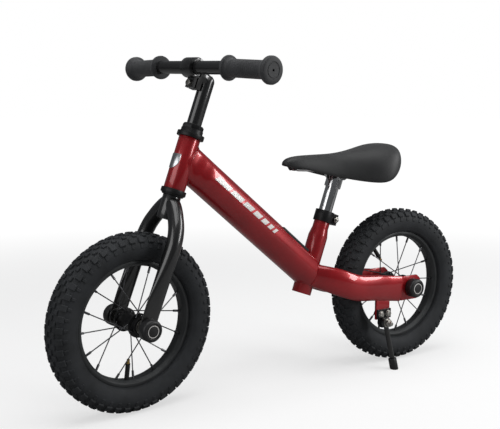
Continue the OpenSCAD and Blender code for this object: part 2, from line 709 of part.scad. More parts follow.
end_l = (bar_w - bar_straight) / 2 / cos(bar_sweep);

function bar_point(side, out) = [-sin(bar_sweep) * out, side * (bar_straight / 2 + cos(bar_sweep) * out), 0];

module bar_line(d, extra) bent_rod([bar_point(-1, end_l - 4 + extra), bar_point(-1, 0), bar_point(1, 0),
    bar_point(1, end_l - 4 + extra)], d);

module handlebar() color(black) at_bar() difference() {
    bar_line(bar_d, 0);
    bar_line(bar_d - 2 * bar_wall, over);
}

module grip() at_bar_end() difference() {
    rotate_extrude() polygon([[0, end_l - grip_l], [grip_inner_d / 2 - 2, end_l - grip_l],
        [grip_inner_d / 2, end_l - grip_l + 2], [grip_inner_d / 2 - 0.5, end_l - grip_l + 5],
        [grip_inner_d / 2 - 3, end_l - grip_l + 7], [grip_d / 2, end_l - grip_l + 9],
        [grip_d / 2, end_l - 15], [grip_end_d / 2 - 3, end_l - 11], [grip_end_d / 2, end_l - 8],
        [grip_end_d / 2, end_l - 3], [grip_end_d / 2 - 3, end_l], [0, end_l]]);
    translate([0, 0, -over]) cylinder(h = end_l - 4 + tight_fit + over, d = bar_d + 2 * tight_fit);
    translate([0, 0, end_l - 6]) cylinder(h = 6 + over, d = 4);
}

module left_grip() color(rubber) at_bar() grip();

module right_grip() color(rubber) at_bar() mirror([0, 1, 0]) grip();

// ---- Seat ----

module seat_post() color(bright) at_seat_tube() translate([0, 0, post_bottom])
    tube(post_top - post_bottom, post_d, post_d - 2 * post_wall);

// Sleeve on the post with a cross barrel for the clamp bolt
module saddle_clamp() color(bright) difference() {
    union() {
        at_seat_tube() translate([0, 0, clamp_up - clamp_body_h])
            cylinder(h = clamp_body_h, d = clamp_body_d);
        at_clamp() across() cylinder(h = 2 * (rail_y - washer_t), d = 20, center = true);
    }
    at_seat_tube() cylinder(h = post_top + tight_fit, d = post_d + 2 * tight_fit);
    at_clamp() across() cylinder(h = 2 * rail_y, d = clamp_pin_d + 2 * tight_fit, center = true);
    at_clamp() both_sides() translate([0, rail_y - washer_t, 0]) across()
        cylinder(h = clamp_body_d, d = 2 * clamp_body_d);
}

module saddle_clamp_bolt() color(zinc) at_clamp() across() {
    cylinder(h = 2 * (rail_y + washer_t + clamp_nut_h), d = clamp_pin_d, center = true);
    translate([0, 0, rail_y + washer_t + pass_gap]) hex_nut(10, clamp_nut_h, clamp_pin_d - tight_fit);
    translate([0, 0, -rail_y - washer_t - pass_gap - clamp_nut_h]) cylinder(h = clamp_nut_h, d = 10 / cos(30), $fn = 6);
}

// Two grooved washers on each side that grip a rail between them
module rail_washers() color(bright) difference() {
    at_clamp() both_sides() {
        translate([0, rail_y - washer_t + pass_gap, 0]) across() cylinder(h = washer_t - 2 * pass_gap, d = washer_d);
        translate([0, rail_y + pass_gap, 0]) across() cylinder(h = washer_t - pass_gap, d = washer_d);
    }
    at_clamp() across() cylinder(h = 4 * rail_y, d = clamp_pin_d + 2 * run_fit, center = true);
    at_clamp() both_sides() rod(rail_path[2], rail_path[3], rail_d + 2 * tight_fit);
}

// Points of the left rail from its front socket to its rear socket, from the clamp's middle
rail_path = [[0.41 * saddle_l, 6, 19], [0.385 * saddle_l, 7.5, 11], [0.08 * saddle_l, rail_y, rail_up],
    [-0.08 * saddle_l, rail_y, rail_up], [-0.27 * saddle_l, rail_y + 10, rail_up],
    [-0.34 * saddle_l, rail_y + 12, rail_up + 20]];

module saddle_rails() color(bright) at_clamp() both_sides() skin(path_rings(rail_path, rail_d / 2));

// Section of the saddle at a station: over the outside, then back under the roof
function arch(x, half, crown, inner, roof, rim) = concat(
    [for (i = [0 : 14]) let (t = 180 * i / 14)
        [x, half * squared(cos(t), 0.75), rim + (crown - rim) * squared(sin(t), 0.75)]],
    [for (i = [14 : -1 : 0]) let (t = 180 * i / 14)
        [x, inner * squared(cos(t), 0.75), rim + (roof - rim) * squared(sin(t), 0.75)]]);

// Stations from nose to tail: share of length, share of half width, crown and rim above the clamp
saddle_line = [[0, 0.12, 25.3, 18.8], [0.03, 0.22, 31.8, 16.3], [0.1, 0.27, 35.3, 13.3], [0.19, 0.3, 36.3, 8.3],
    [0.31, 0.35, 36.8, 0.3], [0.445, 0.44, 37.3, -7.7], [0.58, 0.62, 41.3, -14.7], [0.7, 0.83, 47.3, -19.7],
    [0.815, 0.97, 53.3, -18.7], [0.913, 1, 55.3, -10.7], [0.975, 0.83, 51.3, 5.3], [1, 0.4, 36.8, 22.8]];

function saddle_x(u) = 0.484 * saddle_l - u * saddle_l;
function skirt(half) = min(lip_t, half * 0.5);
function pad_depth(crown, rim) = min(pad_t_top, (crown - rim) * 0.55);
function roof_of(q) = q[2] - pad_depth(q[2], q[3]);
function pan_rim(q) = max(q[3] + 1, roof_of(q) - 8);

// Space that the rails, their sockets and the clamp's nuts take out of the cushion
module saddle_works(gap) {
    both_sides() {
        skin(path_rings(rail_path, rail_d / 2 + gap));
        socket(rail_path[0], rail_path[1], gap);
        socket(rail_path[5], rail_path[4], gap);
    }
    across() cylinder(h = 2 * (rail_y + washer_t + clamp_nut_h + 2 * gap), d = 10 / cos(30) + 2 * gap, center = true);
    across() cylinder(h = 2 * (rail_y + washer_t + gap), d = washer_d + 2 * gap, center = true);
}

module saddle_pan() skin([for (k = [2 : 17]) let (q = station(saddle_line, k / 18), half = q[1] * saddle_w / 2,
    inner = half - skirt(half) - 2 * pass_gap, roof = roof_of(q) - 2 * pass_gap,
    side = pow(1 - pow((pan_rim(q) - q[3]) / (roof - q[3]), 2 / 0.75), 0.75 / 2))
    arch(saddle_x(q[0]), inner * side, roof, inner * side - pan_t, roof - pan_t, pan_rim(q))]);

module saddle_cover() color(black) at_clamp() difference() {
    skin([for (k = [0 : 18]) let (q = station(saddle_line, k / 18), half = q[1] * saddle_w / 2)
        arch(saddle_x(q[0]), half, q[2], half - skirt(half), roof_of(q), q[3])]);
    saddle_works(2 * pass_gap);
    saddle_pan();
}

module socket(end, next, gap = 0) {
    way = unit(next - end);
    rod(end - (4 + gap) * way, end + (9 + gap) * way, rail_d + 4 + 2 * gap);
}

// Moulded pan under the cushion, with sockets for the rails
module saddle_base() color(rubber) at_clamp() difference() {
    union() {
        saddle_pan();
        both_sides() {
            socket(rail_path[0], rail_path[1]);
            socket(rail_path[5], rail_path[4]);
        }
    }
    both_sides() {
        rod(rail_path[1], rail_path[0] - tight_fit * unit(rail_path[1] - rail_path[0]), rail_d + 2 * tight_fit);
        rod(rail_path[4], rail_path[5] - tight_fit * unit(rail_path[4] - rail_path[5]), rail_d + 2 * tight_fit);
    }
    across() cylinder(h = 2 * (rail_y + washer_t + pass_gap), d = washer_d + 2 * pass_gap, center = true);
}

// ---- Side stand ----

module kickstand_tab() color(red) difference() {
    translate([stand_at[0] - 19, tab_y, tab_bolt_z - 11]) cube([34, tab_t, wheel_r - 12 - tab_bolt_z + 11]);
    stay_skin(0);
    stand_bolt_holes();
    stand_pin(pin_head_d + 2 * pass_gap);
}

module stand_bolt_holes() for (side = [-1, 1]) translate([stand_at[0] - 2 + side * stand_bolt_gap / 2, 0, tab_bolt_z])
    across() cylinder(h = 2 * axle_gap, d = stand_bolt_d + 2 * tight_fit);

module kickstand_bracket() color(black) difference() {
    union() {
        translate([stand_at[0] - 19, tab_y + tab_t + tight_fit, tab_bolt_z - 9]) cube([34, bracket_t, 18]);
        translate([stand_at[0], tab_y + tab_t + tight_fit, stand_at[1]]) across() cylinder(h = bracket_t, d = 24);
    }
    stand_bolt_holes();
    stand_pin(pivot_d + 2 * tight_fit);
}

module stand_pin(d) translate([stand_at[0], 0, stand_at[1]]) across() cylinder(h = 2 * axle_gap, d = d);

module kickstand_bolts() color(zinc) for (side = [-1, 1])
    translate([stand_at[0] - 2 + side * stand_bolt_gap / 2, 0, tab_bolt_z]) across() {
        translate([0, 0, tab_y - 7]) cylinder(h = tab_t + bracket_t + 8, d = stand_bolt_d);
        translate([0, 0, tab_y - 5.5 - tight_fit]) hex_nut(10, 5.5, stand_bolt_d - tight_fit);
        translate([0, 0, tab_y + tab_t + bracket_t + 2 * tight_fit]) cylinder(h = 4, d = 10 / cos(30), $fn = 6);
        translate([0, 0, tab_y + tab_t + bracket_t + 2 * tight_fit]) cylinder(h = 1.5, d = 13);
    }

// Turned pin with a flat head behind the bracket, a spring washer and a nut in front
module kickstand_pivot() color(zinc) translate([stand_at[0], 0, stand_at[1]]) across() {
    translate([0, 0, tab_y + tab_t - 3]) cylinder(h = 3, d = pin_head_d);
    translate([0, 0, tab_y + tab_t - 1]) cylinder(h = 29, d = pivot_d);
    translate([0, 0, hub_face_y + hub_h + 2]) hex_nut(13, 6, pivot_d - tight_fit);
}

module kickstand_washer() color(zinc) translate([stand_at[0], hub_face_y + hub_h, stand_at[1]]) across()
    rotate_extrude() polygon([[pivot_d / 2 + tight_fit, 0.8], [8.5, 0.3], [8.5, 1.2], [pivot_d / 2 + tight_fit, 1.9]]);

foot_at = [stand_at[0] - foot_back, foot_y, 0];
knee_at = [stand_at[0] - 0.45 * foot_back, stand_leg_y, stand_at[1] * 0.7];

module kickstand_leg() color(black) difference() {
    union() {
        translate([stand_at[0], hub_face_y, stand_at[1]]) across() cylinder(h = hub_h, d = hub_d);
        skin(path_rings([[stand_at[0], stand_leg_y, stand_at[1]], knee_at,
            foot_at + (knee_at - foot_at) * 0.05], stand_d / 2));
    }
    stand_pin(pivot_d + 2 * run_fit);
}

module kickstand_foot() color(rubber) difference() {
    skin(path_rings([foot_at - (knee_at - foot_at) * 0.2, foot_at + (knee_at - foot_at) * 0.33], foot_d / 2));
    rod(foot_at + (knee_at - foot_at) * 0.05, knee_at, stand_d + 2 * tight_fit);
    translate(foot_at - [2 * foot_d, 2 * foot_d, 4 * foot_d]) cube(4 * foot_d);
}

// ---- Wheels, about their own axle ----

function arc_points(n, from, to, r0, r1, y0, y1) = [for (i = [0 : n]) let (t = from + (to - from) * i / n)
    [r0 + (r1 - r0) * sin(t), y0 + (y1 - y0) * cos(t)]];
function flip(points) = [for (i = [len(points) - 1 : -1 : 0]) [points[i][0], -points[i][1]]];

// Half of the tyre's section as [radius, distance from the middle]
tyre_outside = concat(arc_points(6, 90, 0, wide_r, wheel_r, tread_flat, tyre_w / 2),
    arc_points(6, 15, 90, wide_r, rim_edge_r + 0.6, bead_y, tyre_w / 2),
    [[bead_seat_r + tight_fit, bead_y], [bead_seat_r + tight_fit, bead_y - bead_w]]);
tyre_inside = concat([[bead_seat_r + tight_fit + 3, bead_y - bead_w]],
    arc_points(5, 90, 15, wide_r, rim_edge_r + 0.6, bead_y - bead_w, tyre_w / 2 - side_t),
    arc_points(6, 0, 75, wide_r, wheel_r - tread_t, 0, tyre_w / 2 - side_t));

module tyre() rotate_extrude() polygon(concat(tyre_outside, tyre_inside, flip(tyre_inside), flip(tyre_outside)));

module inner_tube(turn) {
    rotate_extrude() translate([tube_mid_r, 0]) difference() {
        circle(r = tube_r);
        circle(r = tube_r - tube_t);
    }
    rotate([0, 0, -turn]) rotate([0, 90, 0]) translate([0, 0, valve_tip_r])
        cylinder(h = tube_mid_r - tube_r + tube_t / 2 - valve_tip_r, d = valve_d);
}

rim_outline = [[rim_hole_r, 7.5], [bead_seat_r - rim_t, rim_w / 2 - 2], [bead_seat_r, rim_w / 2],
    [rim_edge_r, rim_w / 2], [rim_edge_r, rim_w / 2 - rim_t], [bead_seat_r, rim_w / 2 - rim_t],
    [bead_seat_r, 9.5], [rim_hole_r + rim_t, 7]];

module rim(turn) difference() {
    rotate_extrude() polygon(concat(rim_outline, flip(rim_outline)));
    rotate([0, 0, -turn]) rotate([0, 90, 0]) cylinder(h = wheel_r, d = valve_d + 2 * pass_gap);
    for (i = [0 : spoke_count - 1]) nipple_shape(i, tight_fit);
}

// Spoke i: its end at the hub and its end at the rim
function spoke_in(i) = i % 4 < 2 ? 1 : -1;
function flange_side(i) = i % 2 == 0 ? 1 : -1;
function rim_turn(i) = 360 / spoke_count * i;
function hub_turn(i) = rim_turn(i) + spoke_in(i) * 720 / spoke_count;
function hub_off(i) = spoke_in(i) * spoke_side + (spoke_in(i) > 0 ? 1.5 : 0);
function spoke_start(i) = [spoke_circle_d / 2 * cos(hub_turn(i)), spoke_circle_d / 2 * sin(hub_turn(i)),
    flange_side(i) * (flange_y + hub_off(i))];
function spoke_end(i) = [(rim_hole_r + rim_t / 2) * cos(rim_turn(i)), (rim_hole_r + rim_t / 2) * sin(rim_turn(i)),
    flange_side(i) * 3];
function spoke_way(i) = unit(spoke_end(i) - spoke_start(i));

module nipple_shape(i, gap) {
    rod(spoke_end(i) - nipple_l * spoke_way(i), spoke_end(i) + spoke_way(i), nipple_d + 2 * gap);
    rod(spoke_end(i) - gap * spoke_way(i), spoke_end(i) + (2 + 100 * gap) * spoke_way(i), nipple_d + 2 + 2 * gap);
}

module spokes() for (i = [0 : spoke_count - 1]) {
    rod(spoke_start(i), spoke_end(i) + 0.5 * spoke_way(i), spoke_d);
    translate(spoke_start(i)) sphere(d = spoke_d);
    translate([spoke_start(i)[0], spoke_start(i)[1], flange_side(i) * flange_y]) {
        far = flange_side(i) * spoke_in(i);
        cap_z = -far * (flange_t / 2 + 0.9);
        rod([0, 0, cap_z], [0, 0, flange_side(i) * hub_off(i)], spoke_d);
        rod([0, 0, cap_z - far * 0.8], [0, 0, cap_z], 1.6 * spoke_d);
    }
    difference() {
        nipple_shape(i, 0);
        rod(spoke_end(i) - 2 * nipple_l * spoke_way(i), spoke_end(i) + (0.5 + tight_fit) * spoke_way(i),
            spoke_d + 2 * tight_fit);
    }
}

hub_outline = [[axle_d / 2 + 2.5, hub_ball_y - hub_ball_d / 2 - run_fit], [hub_cup_r, hub_ball_y - hub_ball_d / 2 - run_fit],
    [hub_cup_r, hub_end_y], [hub_shell_r, hub_end_y], [hub_shell_r, flange_y + flange_t / 2],
    [flange_d / 2, flange_y + flange_t / 2], [flange_d / 2, flange_y - flange_t / 2],
    [hub_shell_r, flange_y - flange_t / 2], [barrel_d / 2, flange_y - flange_t / 2 - 7]];

module hub() difference() {
    rotate_extrude() polygon(concat(hub_outline, flip(hub_outline)));
    for (i = [0 : spoke_count - 1]) translate([spoke_start(i)[0], spoke_start(i)[1], flange_side(i) * flange_y])
        cylinder(h = 2 * flange_t, d = spoke_d + 2 * tight_fit, center = true);
}

module hub_ball_set() for (side = [-1, 1]) translate([0, 0, side * hub_ball_y])
    ball_ring(hub_balls, ball_track_r, hub_ball_d);

module axle(end_t) cylinder(h = axle_gap + 2 * (end_t + nut_h + 5), d = axle_d, center = true);

// Cone and lock nut on each side of a hub
module cones() for (side = [0, 1]) mirror([0, 0, side]) difference() {
    union() {
        translate([0, 0, hub_ball_y - hub_ball_d / 2 + pass_gap])
            cylinder(h = hub_ball_d, r = axle_d / 2 + 3 - run_fit);
        translate([0, 0, cone_hat_y]) cylinder(h = hub_end_y + 2 - cone_hat_y, r = hub_cup_r - pass_gap);
        translate([0, 0, hub_end_y + 1]) cylinder(h = axle_gap / 2 - jam_h - tight_fit - hub_end_y - 1, d = nut_af);
        translate([0, 0, axle_gap / 2 - jam_h]) cylinder(h = jam_h - tight_fit, d = nut_af / cos(30), $fn = 6);
    }
    cylinder(h = axle_gap, d = axle_d + 2 * tight_fit);
}

module axle_nut_set(end_t) for (side = [0, 1]) mirror([0, 0, side])
    translate([0, 0, axle_gap / 2 + end_t + tight_fit]) difference() {
        union() {
            cylinder(h = 2, d = nut_af + 5);
            cylinder(h = nut_h + 2, d = nut_af / cos(30), $fn = 6);
        }
        translate([0, 0, -over]) cylinder(h = nut_h + 4, d = axle_d + 2 * tight_fit);
    }

// Domed cap pushed over each axle nut
module nut_cap_set(end_t) {
    base_y = axle_gap / 2 + end_t + 2 * tight_fit;
    for (side = [0, 1]) mirror([0, 0, side]) difference() {
        rotate_extrude() polygon(concat([[0, base_y], [cap_d / 2 - 1, base_y], [cap_d / 2, base_y + 1.5]],
            [for (t = [0 : 15 : 90]) [cap_d / 2 - 5 + 5 * cos(t), cap_reach - 5 + 5 * sin(t)]], [[0, cap_reach]]));
        translate([0, 0, base_y - over]) cylinder(h = 2 + over + tight_fit, d = nut_af + 5 + 2 * tight_fit);
        translate([0, 0, base_y]) cylinder(h = cap_reach - base_y - 2, d = nut_af / cos(30) + 2 * tight_fit);
        translate([0, 0, cap_reach - 0.8]) tube(2, cap_d - 12, cap_d - 16);
    }
}

module front_wheel_place() at_front_axle() across() children();
module rear_wheel_place() at_rear_axle() across() children();

module front_tyre() color(rubber) front_wheel_place() tyre();
module front_inner_tube() color(rubber) front_wheel_place() inner_tube(front_valve_turn);
module front_rim() color(black) front_wheel_place() rim(front_valve_turn);
module front_spokes() color(zinc) front_wheel_place() spokes();
module front_hub() color(black) front_wheel_place() hub();
module front_hub_balls() color(bright) front_wheel_place() hub_ball_set();
module front_axle() color(zinc) front_wheel_place() axle(leg_end_t);
module front_cones() color(zinc) front_wheel_place() cones();
module front_axle_nuts() color(zinc) front_wheel_place() axle_nut_set(leg_end_t);
module front_nut_caps() color(black) front_wheel_place() nut_cap_set(leg_end_t);

module rear_tyre() color(rubber) rear_wheel_place() tyre();
module rear_inner_tube() color(rubber) rear_wheel_place() inner_tube(rear_valve_turn);
module rear_rim() color(black) rear_wheel_place() rim(rear_valve_turn);
module rear_spokes() color(zinc) rear_wheel_place() spokes();
module rear_hub() color(black) rear_wheel_place() hub();
module rear_hub_balls() color(bright) rear_wheel_place() hub_ball_set();
module rear_axle() color(zinc) rear_wheel_place() axle(dropout_t);
module rear_cones() color(zinc) rear_wheel_place() cones();
module rear_axle_nuts() color(zinc) rear_wheel_place() axle_nut_set(dropout_t);
module rear_nut_caps() color(black) rear_wheel_place() nut_cap_set(dropout_t);

head_tube();
head_badge();
main_tube();
footrest_pad();
seat_tube();
left_stay();
right_stay();
dropouts();
seat_clamp();
seat_clamp_bolt();
upper_cup();
lower_cup();
headset_balls();
crown_race();
top_race();
locknut();
steerer();
left_fork_leg();
right_fork_leg();
stem();
stem_wedge();
stem_bolt();
bar_clamp_bolt();
handlebar();
left_grip();
right_grip();
seat_post();
saddle_clamp();
saddle_clamp_bolt();
rail_washers();
saddle_rails();
saddle_base();
saddle_cover();
kickstand_tab();
kickstand_bracket();
kickstand_bolts();
kickstand_pivot();
kickstand_washer();
kickstand_leg();
kickstand_foot();
front_tyre();
front_inner_tube();
front_rim();
front_spokes();
front_hub();
front_hub_balls();
front_axle();
front_cones();
front_axle_nuts();
front_nut_caps();
rear_tyre();
rear_inner_tube();
rear_rim();
rear_spokes();
rear_hub();
rear_hub_balls();
rear_axle();
rear_cones();
rear_axle_nuts();
rear_nut_caps();
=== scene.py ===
import json
import math
import bmesh
import bpy
from mathutils import Matrix, Vector

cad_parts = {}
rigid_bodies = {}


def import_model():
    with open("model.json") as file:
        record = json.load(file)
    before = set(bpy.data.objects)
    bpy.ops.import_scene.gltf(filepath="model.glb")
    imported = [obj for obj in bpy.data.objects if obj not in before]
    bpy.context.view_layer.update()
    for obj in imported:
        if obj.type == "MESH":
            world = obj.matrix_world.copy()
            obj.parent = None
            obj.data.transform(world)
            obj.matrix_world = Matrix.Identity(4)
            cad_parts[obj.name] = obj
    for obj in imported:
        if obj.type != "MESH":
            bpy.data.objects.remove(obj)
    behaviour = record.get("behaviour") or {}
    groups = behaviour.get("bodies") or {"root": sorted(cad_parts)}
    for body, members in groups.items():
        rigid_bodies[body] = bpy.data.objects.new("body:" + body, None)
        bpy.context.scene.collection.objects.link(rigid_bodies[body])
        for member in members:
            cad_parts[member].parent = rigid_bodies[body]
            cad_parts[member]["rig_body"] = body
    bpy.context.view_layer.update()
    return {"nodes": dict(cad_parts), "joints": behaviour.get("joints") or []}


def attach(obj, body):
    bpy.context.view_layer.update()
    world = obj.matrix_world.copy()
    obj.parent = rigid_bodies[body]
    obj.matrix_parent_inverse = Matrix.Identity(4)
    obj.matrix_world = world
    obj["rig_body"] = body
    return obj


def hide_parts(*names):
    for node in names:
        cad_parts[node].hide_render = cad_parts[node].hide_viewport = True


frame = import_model()
joints = {joint["name"]: joint for joint in frame["joints"]}
mm = 0.001
print("frame loaded:", len(frame["nodes"]), "nodes")

# places along the steerer (from the front axle's level) and the seat tube (from its foot), and how far
# the axle and the bar sit forward of the steerer, all in mm
heights = {"forkOffset": 3.0, "saddleClamp": 237.0, "mainLow": 42.0, "mainHigh": 286.5, "bar": 435.52,
           "barForward": 36.0}

# places, all in the frame's metres
rearCentre = Vector(joints["rear_wheel_spin"]["pos_m"])
frontCentre = Vector(joints["front_wheel_spin"]["pos_m"])
steerAxis = Vector(joints["steering"]["axis"]).normalized()
frontAxle = Vector(joints["front_wheel_spin"]["axis"]).normalized()
steerForward = frontAxle.cross(steerAxis)
steerFoot = frontCentre - heights["forkOffset"] * mm * steerForward
seatAxis = Vector(joints["seat_height"]["axis"]).normalized()
saddlePivot = Vector(joints["saddle_tilt"]["pos_m"])
seatFoot = saddlePivot - heights["saddleClamp"] * mm * seatAxis
xUnit, yUnit, zUnit = Vector((1, 0, 0)), Vector((0, 1, 0)), Vector((0, 0, 1))


def placed(xAxis, yAxis, zAxis, origin):
    return Matrix.Translation(origin) @ Matrix((xAxis, yAxis, zAxis)).transposed().to_4x4()


steerPlace = placed(steerForward, frontAxle, steerAxis, steerFoot)           # z up the steerer, y to the left
seatPlace = placed(yUnit.cross(seatAxis), yUnit, seatAxis, seatFoot)         # z up the seat post
frontWheelPlace = placed(steerForward, -steerAxis, frontAxle, frontCentre)   # z along the axle
rearWheelPlace = placed(xUnit, -zUnit, yUnit, rearCentre)
mainLow = seatFoot + heights["mainLow"] * mm * seatAxis
mainHigh = steerFoot + heights["mainHigh"] * mm * steerAxis
mainHigh.y = 0
mainWay = (mainHigh - mainLow).normalized()
mainLength = (mainHigh - mainLow).length
mainPlace = placed(yUnit.cross(mainWay), yUnit, mainWay, mainLow)            # z up the tube, -x is its top


# materials
def hexColour(code):
    parts = [int(code[i:i + 2], 16) / 255 for i in (1, 3, 5)]
    return tuple(p / 12.92 if p <= 0.04045 else ((p + 0.055) / 1.055) ** 2.4 for p in parts) + (1.0,)


def addNode(tree, kind, settings=None, links=None):
    made = tree.nodes.new(kind)
    for key, value in (settings or {}).items():
        if isinstance(key, str) and hasattr(made, key):
            setattr(made, key, value)
        else:
            made.inputs[key].default_value = value
    for socket, source in (links or {}).items():
        tree.links.new(source, made.inputs[socket])
    return made


def setRamp(ramp, stops):
    while len(ramp.color_ramp.elements) < len(stops):
        ramp.color_ramp.elements.new(0.5)
    for element, (position, colour) in zip(ramp.color_ramp.elements, stops):
        element.position = position
        element.color = colour


materials = {}


def startMaterial(name):
    material = bpy.data.materials.new(name)
    material.use_nodes = True
    material.node_tree.nodes.clear()
    materials[name] = material
    return material.node_tree, addNode(material.node_tree, "ShaderNodeTexCoord").outputs["Object"]


def makeMaterial(name, shader, dark, light, grain, roughness, bump, patchy):
    tree, place = startMaterial(name)
    # broad, faint variation of colour, so that no face is one flat tone
    cloud = addNode(tree, "ShaderNodeTexNoise", {"Scale": 1 / patchy, "Detail": 3.0}, {"Vector": place})
    tone = addNode(tree, "ShaderNodeValToRGB", {}, {"Fac": cloud.outputs["Fac"]})
    setRamp(tone, [(0.3, hexColour(dark)), (0.7, hexColour(light))])
    # fine grain, its size in metres
    fine = addNode(tree, "ShaderNodeTexNoise", {"Scale": 1 / grain, "Detail": 4.0}, {"Vector": place})
    rough = addNode(tree, "ShaderNodeMapRange", {"To Min": roughness[0], "To Max": roughness[1]},
                    {"Value": fine.outputs["Fac"]})
    relief = addNode(tree, "ShaderNodeBump", {"Strength": bump[0], "Distance": bump[1]},
                     {"Height": fine.outputs["Fac"]})
    bsdf = addNode(tree, "ShaderNodeBsdfPrincipled", shader,
                   {"Base Color": tone.outputs["Color"], "Roughness": rough.outputs["Result"],
                    "Normal": relief.outputs["Normal"]})
    addNode(tree, "ShaderNodeOutputMaterial", {}, {"Surface": bsdf.outputs["BSDF"]})


# baked enamel over steel, deep red under a clear top coat: soft body colour with sharp reflections on it
makeMaterial(
    "redEnamel", {"Metallic": 0.3, "Coat Weight": 0.8, "Coat Roughness": 0.07},
    "#970914", "#AE0C19", 0.0016, (0.28, 0.36), (0.02, 0.00002), 0.05)
# black gloss enamel on the fork, stem and bar: near black, with long clean highlights
makeMaterial(
    "blackEnamel", {"Coat Weight": 0.8, "Coat Roughness": 0.08},
    "#0B0B0C", "#121213", 0.0016, (0.3, 0.4), (0.05, 0.0001), 0.04)
# black oxide steel of the headset and collar: satin, lighter where the light grazes it
makeMaterial(
    "blackSteel", {"Metallic": 0.55},
    "#1B1B1C", "#262627", 0.0007, (0.36, 0.5), (0.12, 0.0001), 0.02)
# black anodised rim: satin with very fine polishing lines
makeMaterial(
    "blackRim", {"Metallic": 0.3},
    "#2E3031", "#3A3C3D", 0.0009, (0.42, 0.52), (0.06, 0.0001), 0.03)
# chrome plate on the post and rails: mirror bright with faint haze
makeMaterial(
    "chrome", {"Metallic": 1.0},
    "#C4C5C6", "#D9D9DA", 0.009, (0.09, 0.16), (0.01, 0.00002), 0.03)
# zinc plated fasteners: pale grey, slightly mottled
makeMaterial(
    "zincPlate", {"Metallic": 1.0},
    "#A3A19B", "#BEBCB6", 0.0006, (0.25, 0.42), (0.1, 0.0001), 0.004)
# bare steel wire of the spokes, dull grey
makeMaterial(
    "spokeWire", {"Metallic": 1.0},
    "#5E5E60", "#77777A", 0.0006, (0.3, 0.45), (0.05, 0.00005), 0.01)
# moulded tyre rubber: charcoal with bloom and a matte skin
makeMaterial(
    "tyreRubber", {"Specular IOR Level": 0.35},
    "#222426", "#2F3134", 0.0009, (0.62, 0.8), (0.25, 0.00025), 0.03)
# moulded grip rubber: dark grey, soft sheen
makeMaterial(
    "gripRubber", {"Specular IOR Level": 0.4, "Sheen Weight": 0.15, "Sheen Roughness": 0.5},
    "#2D2E30", "#393A3C", 0.0008, (0.55, 0.68), (0.2, 0.0002), 0.02)
# glass filled nylon caps and saddle pan
makeMaterial(
    "blackNylon", {"Specular IOR Level": 0.5},
    "#151516", "#1F1F21", 0.0008, (0.38, 0.52), (0.15, 0.00015), 0.02)
# butyl inner tube and valve stem
makeMaterial(
    "butyl", {"Specular IOR Level": 0.4},
    "#151515", "#202020", 0.001, (0.5, 0.65), (0.1, 0.0001), 0.02)
# brass valve core: warm yellow metal
makeMaterial(
    "brass", {"Metallic": 1.0},
    "#A98B4C", "#C4A564", 0.0005, (0.25, 0.38), (0.05, 0.00005), 0.003)
# satin aluminium badge
makeMaterial(
    "badgeAluminium", {"Metallic": 1.0},
    "#B4B6B9", "#CBCDD0", 0.0005, (0.25, 0.35), (0.08, 0.00005), 0.01)
# screen printed white ink under the top coat
makeMaterial(
    "whiteInk", {"Coat Weight": 0.6, "Coat Roughness": 0.1},
    "#DDDAD6", "#EFEDEA", 0.001, (0.35, 0.45), (0.03, 0.00005), 0.02)


def makeVinyl():
    # stretched vinyl over foam: dull black, pebbled grain about 0.9 mm across
    tree, place = startMaterial("saddleVinyl")
    cloud = addNode(tree, "ShaderNodeTexNoise", {"Scale": 30.0, "Detail": 3.0}, {"Vector": place})
    tone = addNode(tree, "ShaderNodeValToRGB", {}, {"Fac": cloud.outputs["Fac"]})
    setRamp(tone, [(0.3, hexColour("#1C1D1E")), (0.7, hexColour("#252627"))])
    pebble = addNode(tree, "ShaderNodeTexVoronoi", {"Scale": 1 / 0.0009}, {"Vector": place})
    relief = addNode(tree, "ShaderNodeBump", {"Strength": 0.22, "Distance": 0.00025},
                     {"Height": pebble.outputs["Distance"]})
    rough = addNode(tree, "ShaderNodeMapRange", {"To Min": 0.46, "To Max": 0.6},
                    {"Value": cloud.outputs["Fac"]})
    bsdf = addNode(tree, "ShaderNodeBsdfPrincipled", {"Specular IOR Level": 0.45, "Sheen Weight": 0.1},
                   {"Base Color": tone.outputs["Color"], "Roughness": rough.outputs["Result"],
                    "Normal": relief.outputs["Normal"]})
    addNode(tree, "ShaderNodeOutputMaterial", {}, {"Surface": bsdf.outputs["BSDF"]})


makeVinyl()
print("materials made:", len(materials))


# helpers for pieces
def shadeByAngle(bm, angle):
    for face in bm.faces:
        face.smooth = True
    for edge in bm.edges:
        edge.smooth = len(edge.link_faces) == 2 and edge.calc_face_angle() < math.radians(angle)


def makePiece(name, bm, material, body, stands=(), shade=35, place=None, subdivide=0):
    if place is not None:
        bmesh.ops.transform(bm, matrix=place, verts=bm.verts)
    shadeByAngle(bm, shade)
    mesh = bpy.data.meshes.new(name)
    bm.to_mesh(mesh)
    bm.free()
    mesh.materials.append(materials[material])
    piece = bpy.data.objects.new(name, mesh)
    bpy.context.scene.collection.objects.link(piece)
    if subdivide:
        smoother = piece.modifiers.new("smoother", "SUBSURF")
        smoother.levels = smoother.render_levels = subdivide
    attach(piece, body)
    if stands:
        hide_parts(*stands)
    return piece


def eachOnce(items):
    return list(dict.fromkeys(items))   # keeps the order, so that every run gives the same mesh


def sharpEdges(bm, angle):
    return [e for e in bm.edges if len(e.link_faces) == 2 and e.calc_face_angle() > math.radians(angle)]


def roundEdges(bm, width, angle=35, edges=None):
    bmesh.ops.bevel(bm, geom=edges or sharpEdges(bm, angle), offset=width, affect="EDGES", segments=2,
                    profile=0.5, material=-1, clamp_overlap=True)


